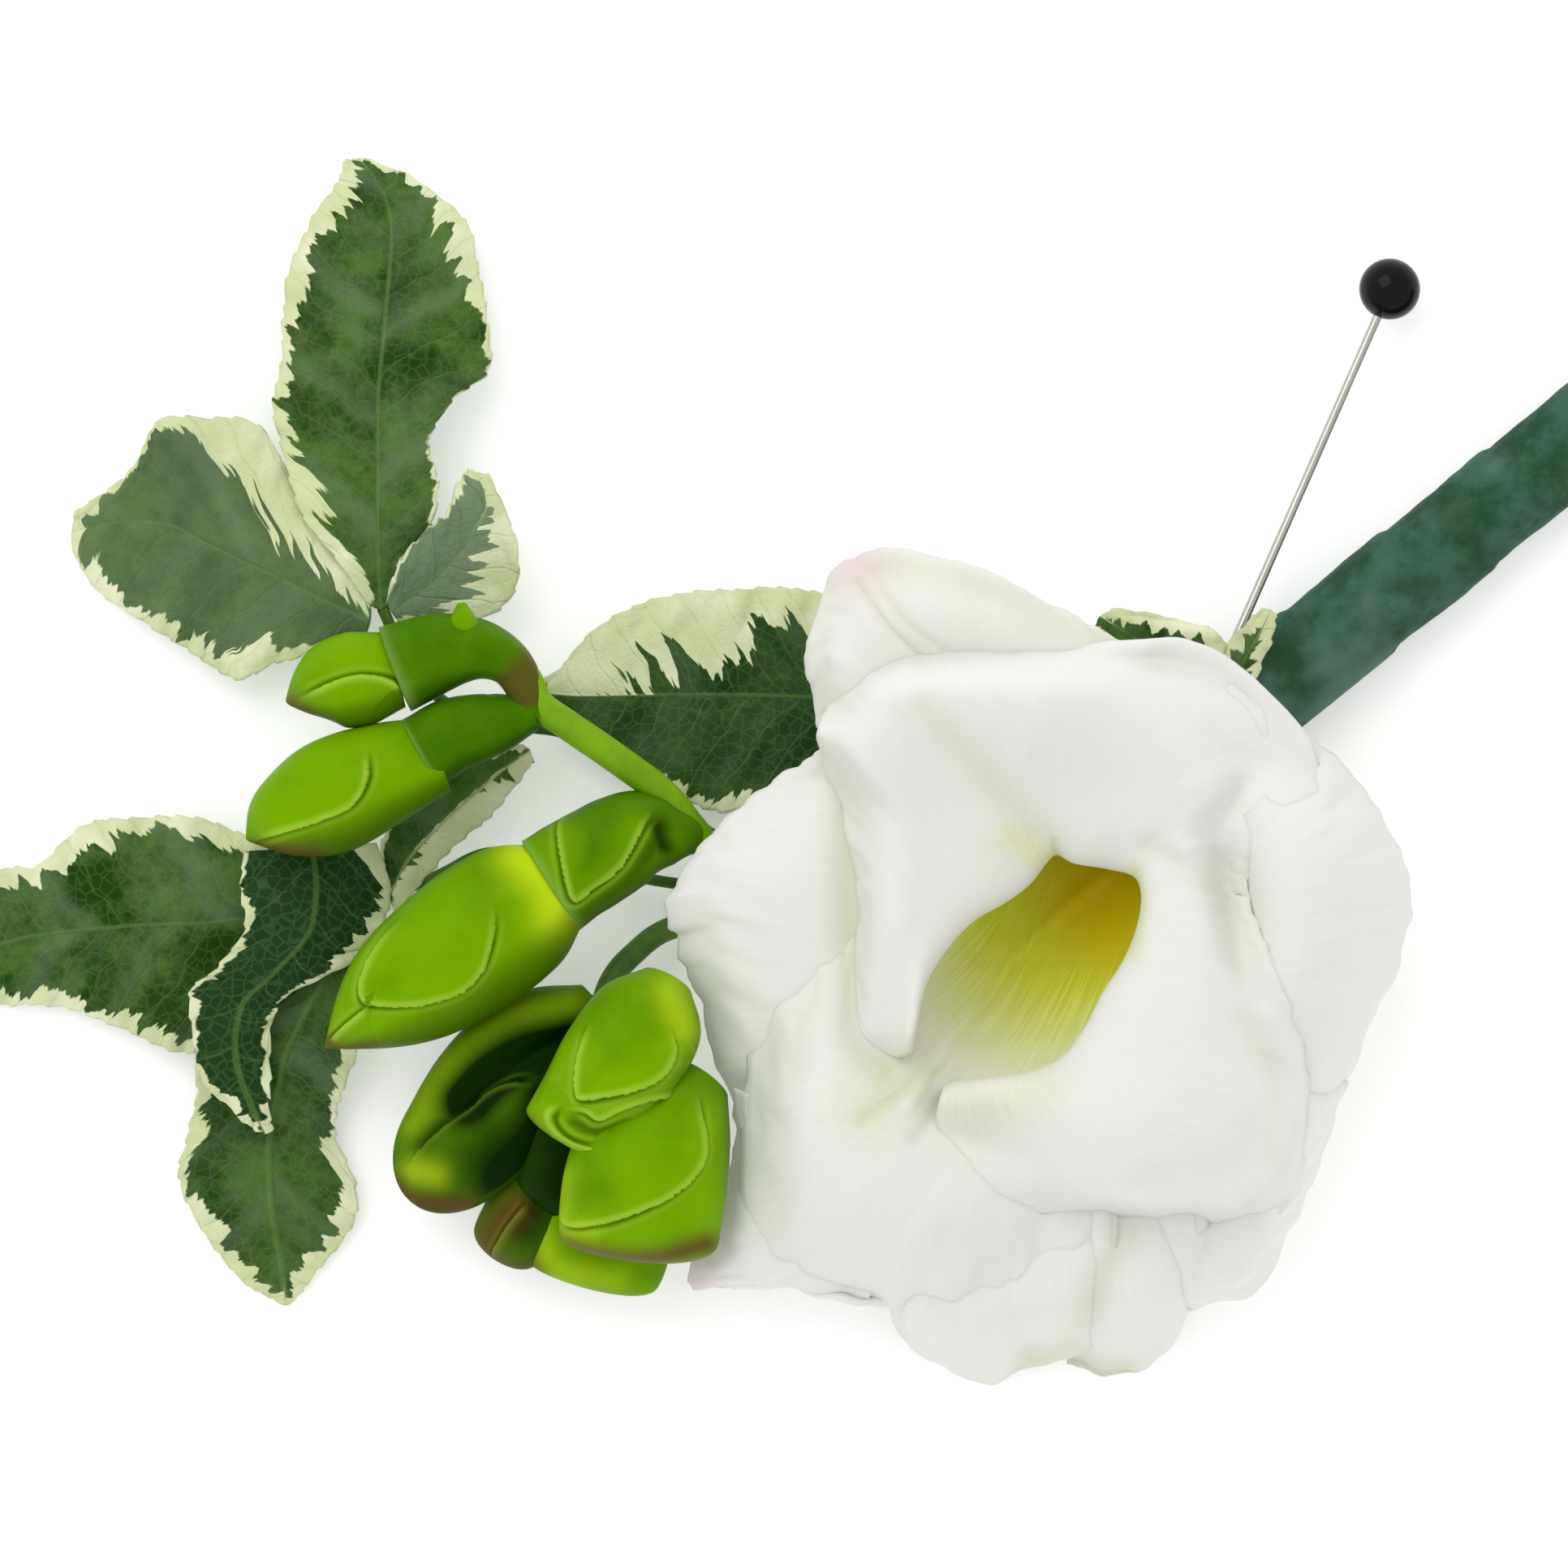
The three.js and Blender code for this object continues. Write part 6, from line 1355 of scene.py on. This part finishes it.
        "petiole": (50, 12, [[27.4, 2.7, 5.5], [26.6, 3.2, 6.5], [26.4, 4.2, 7.2]])},
}

LEAF_SPACING = 0.26
LEAF_THICKNESS = (0.5, 0.22)
LEAF_MARGIN = 1
LOWEST_LEAF = 0.3
VEIN_LEAN = 0.75
TOOTH_PITCH = 1.35
TOOTH_DEPTH = 0.22
WAVE_DEPTH = 0.35
QUILT_DEPTH = 0.07
GROOVE_DEPTH, GROOVE_REACH = 0.1, 0.35

# The rank of the right half starts this far on, so that its veins and fingers don't mirror the left.

RIGHT_RANK = 20


def add_lobe(name, node, look, material, seed):
    grid, u, v = net(look["rows"], LEAF_SPACING)
    length, width = np.meshgrid(u, v, indexing="ij")
    side = 2 * width - 1
    steps = np.linalg.norm(np.diff(grid[:, len(v) // 2], axis=0), axis=1)
    reach = np.concatenate([[0], np.cumsum(steps)])[:, None]
    middle = grid[:, [len(v) // 2]]
    across = np.linalg.norm(grid - middle, axis=-1)
    half = np.where(side < 0, across[:, [0]], across[:, [-1]])
    wander = 0.5 * noise(seed, across * 0.5, reach * 0.3)
    rank = reach - VEIN_LEAN * across + wander + RIGHT_RANK * (side > 0)
    saw = (reach + 0.4 * noise(seed + 1, reach * 0.5, side)) / TOOTH_PITCH
    tooth = TOOTH_DEPTH * (saw - np.floor(saw) - 0.4) * smooth(0.55, 1, np.abs(side))
    wave = WAVE_DEPTH * smooth(0.4, 1, np.abs(side)) * noise(seed + 2, reach * 1.1, side * 2)
    outwards = unit(np.gradient(grid, axis=1)) * np.sign(side)[..., None]
    normal = normals_of(grid)
    quilt = np.abs(np.sin(rank / VEIN_SPACING * math.pi))
    relief = QUILT_DEPTH * quilt * smooth(0, 1.5, across) * smooth(1, 0.8, np.abs(side))
    groove = -GROOVE_DEPTH * np.exp(-(across / GROOVE_REACH) ** 2)
    fade = smooth(0, 0.1, length)
    grid = grid + outwards * (tooth * fade)[..., None]
    grid = grid - normal * ((relief + groove + wave) * fade)[..., None]
    grid[..., 2] = np.maximum(grid[..., 2], LOWEST_LEAF)
    left, right = (through(widths, u)[:, None] for widths in look["cream"])
    cream = np.where(side < 0, left, right)
    to_tip = reach[-1] - reach
    margin = np.minimum(half - across, to_tip)
    thickness = thinned(LEAF_THICKNESS, LEAF_MARGIN, margin)
    piece = shell(name, grid, thickness, material, {
        "inset": np.minimum(half - across, to_tip * 0.8 + 0.3) - cream, "cream": cream,
        "midrib": across, "rank": rank, "pale": np.full(length.shape, look.get("pale", 0)),
        "shade": np.full(length.shape, look.get("shade", 0))})
    belongs(piece, node)


def add_leaves(tree, material, stem_skin):
    for number, (node, look) in enumerate(LEAVES.items()):
        for order, lobe in enumerate(look["lobes"]):
            add_lobe(f"{node}_lobe_{order + 1}", node, lobe, material, 200 + 10 * number + order * 3)
        angle, depth, route = look["petiole"]
        piece = stalk(f"{node}_stalk", tree, along_bore(angle, depth) + route,
                      (PETIOLE_RADIUS, PETIOLE_RADIUS), stem_skin, 16, 0.03, number)
        belongs(piece, node)


def add_wire(tree):
    route = along_bore(279, 38) + [[26.4, 2, 1.8], [24.6, 0.9, 2.1], [21.6, -0.3, 2.1],
                                   [16, -2.4, 2.4]]
    skin = stalk_material("green lacquer", *WIRE_GREENS)
    wire = stalk("florist_wire_drawn", tree, route, (WIRE_RADIUS, WIRE_RADIUS), skin, 16, 0.01)
    belongs(wire, "florist_wire")


def add_floor():
    corners = [(FLOOR_HALF * x, FLOOR_HALF * y, 0) for x, y in ((-1, -1), (1, -1), (1, 1), (-1, 1))]
    mesh = bpy.data.meshes.new("floor")
    mesh.from_pydata(corners, [], [(0, 1, 2, 3)])
    mesh.materials.append(floor_material())
    floor = bpy.data.objects.new("floor", mesh)
    bpy.context.collection.objects.link(floor)


add_camera()
add_softbox()
add_room()
add_floor()
growing = stalk_tree()
bud_skin = bud_material("bud green", *BUD_GREENS)
shaded_skin = bud_material("shaded bud green", *SHADED_BUD_GREENS)
bract_skin = bud_material("bract green", *BRACT_GREENS)
stem_skin = stalk_material("stem green", *STEM_GREENS)
petiole_skin = stalk_material("leaf stalk green", *PETIOLE_GREENS)
add_tape(tape_material())
add_pin(steel_material(), pin_head_material())
add_wire(growing)
add_bloom(petal_material())
add_spike(growing, bud_skin, bract_skin, stem_skin)
add_spray(growing, bud_skin, shaded_skin, petiole_skin)
add_leaves(growing, leaf_material(), petiole_skin)
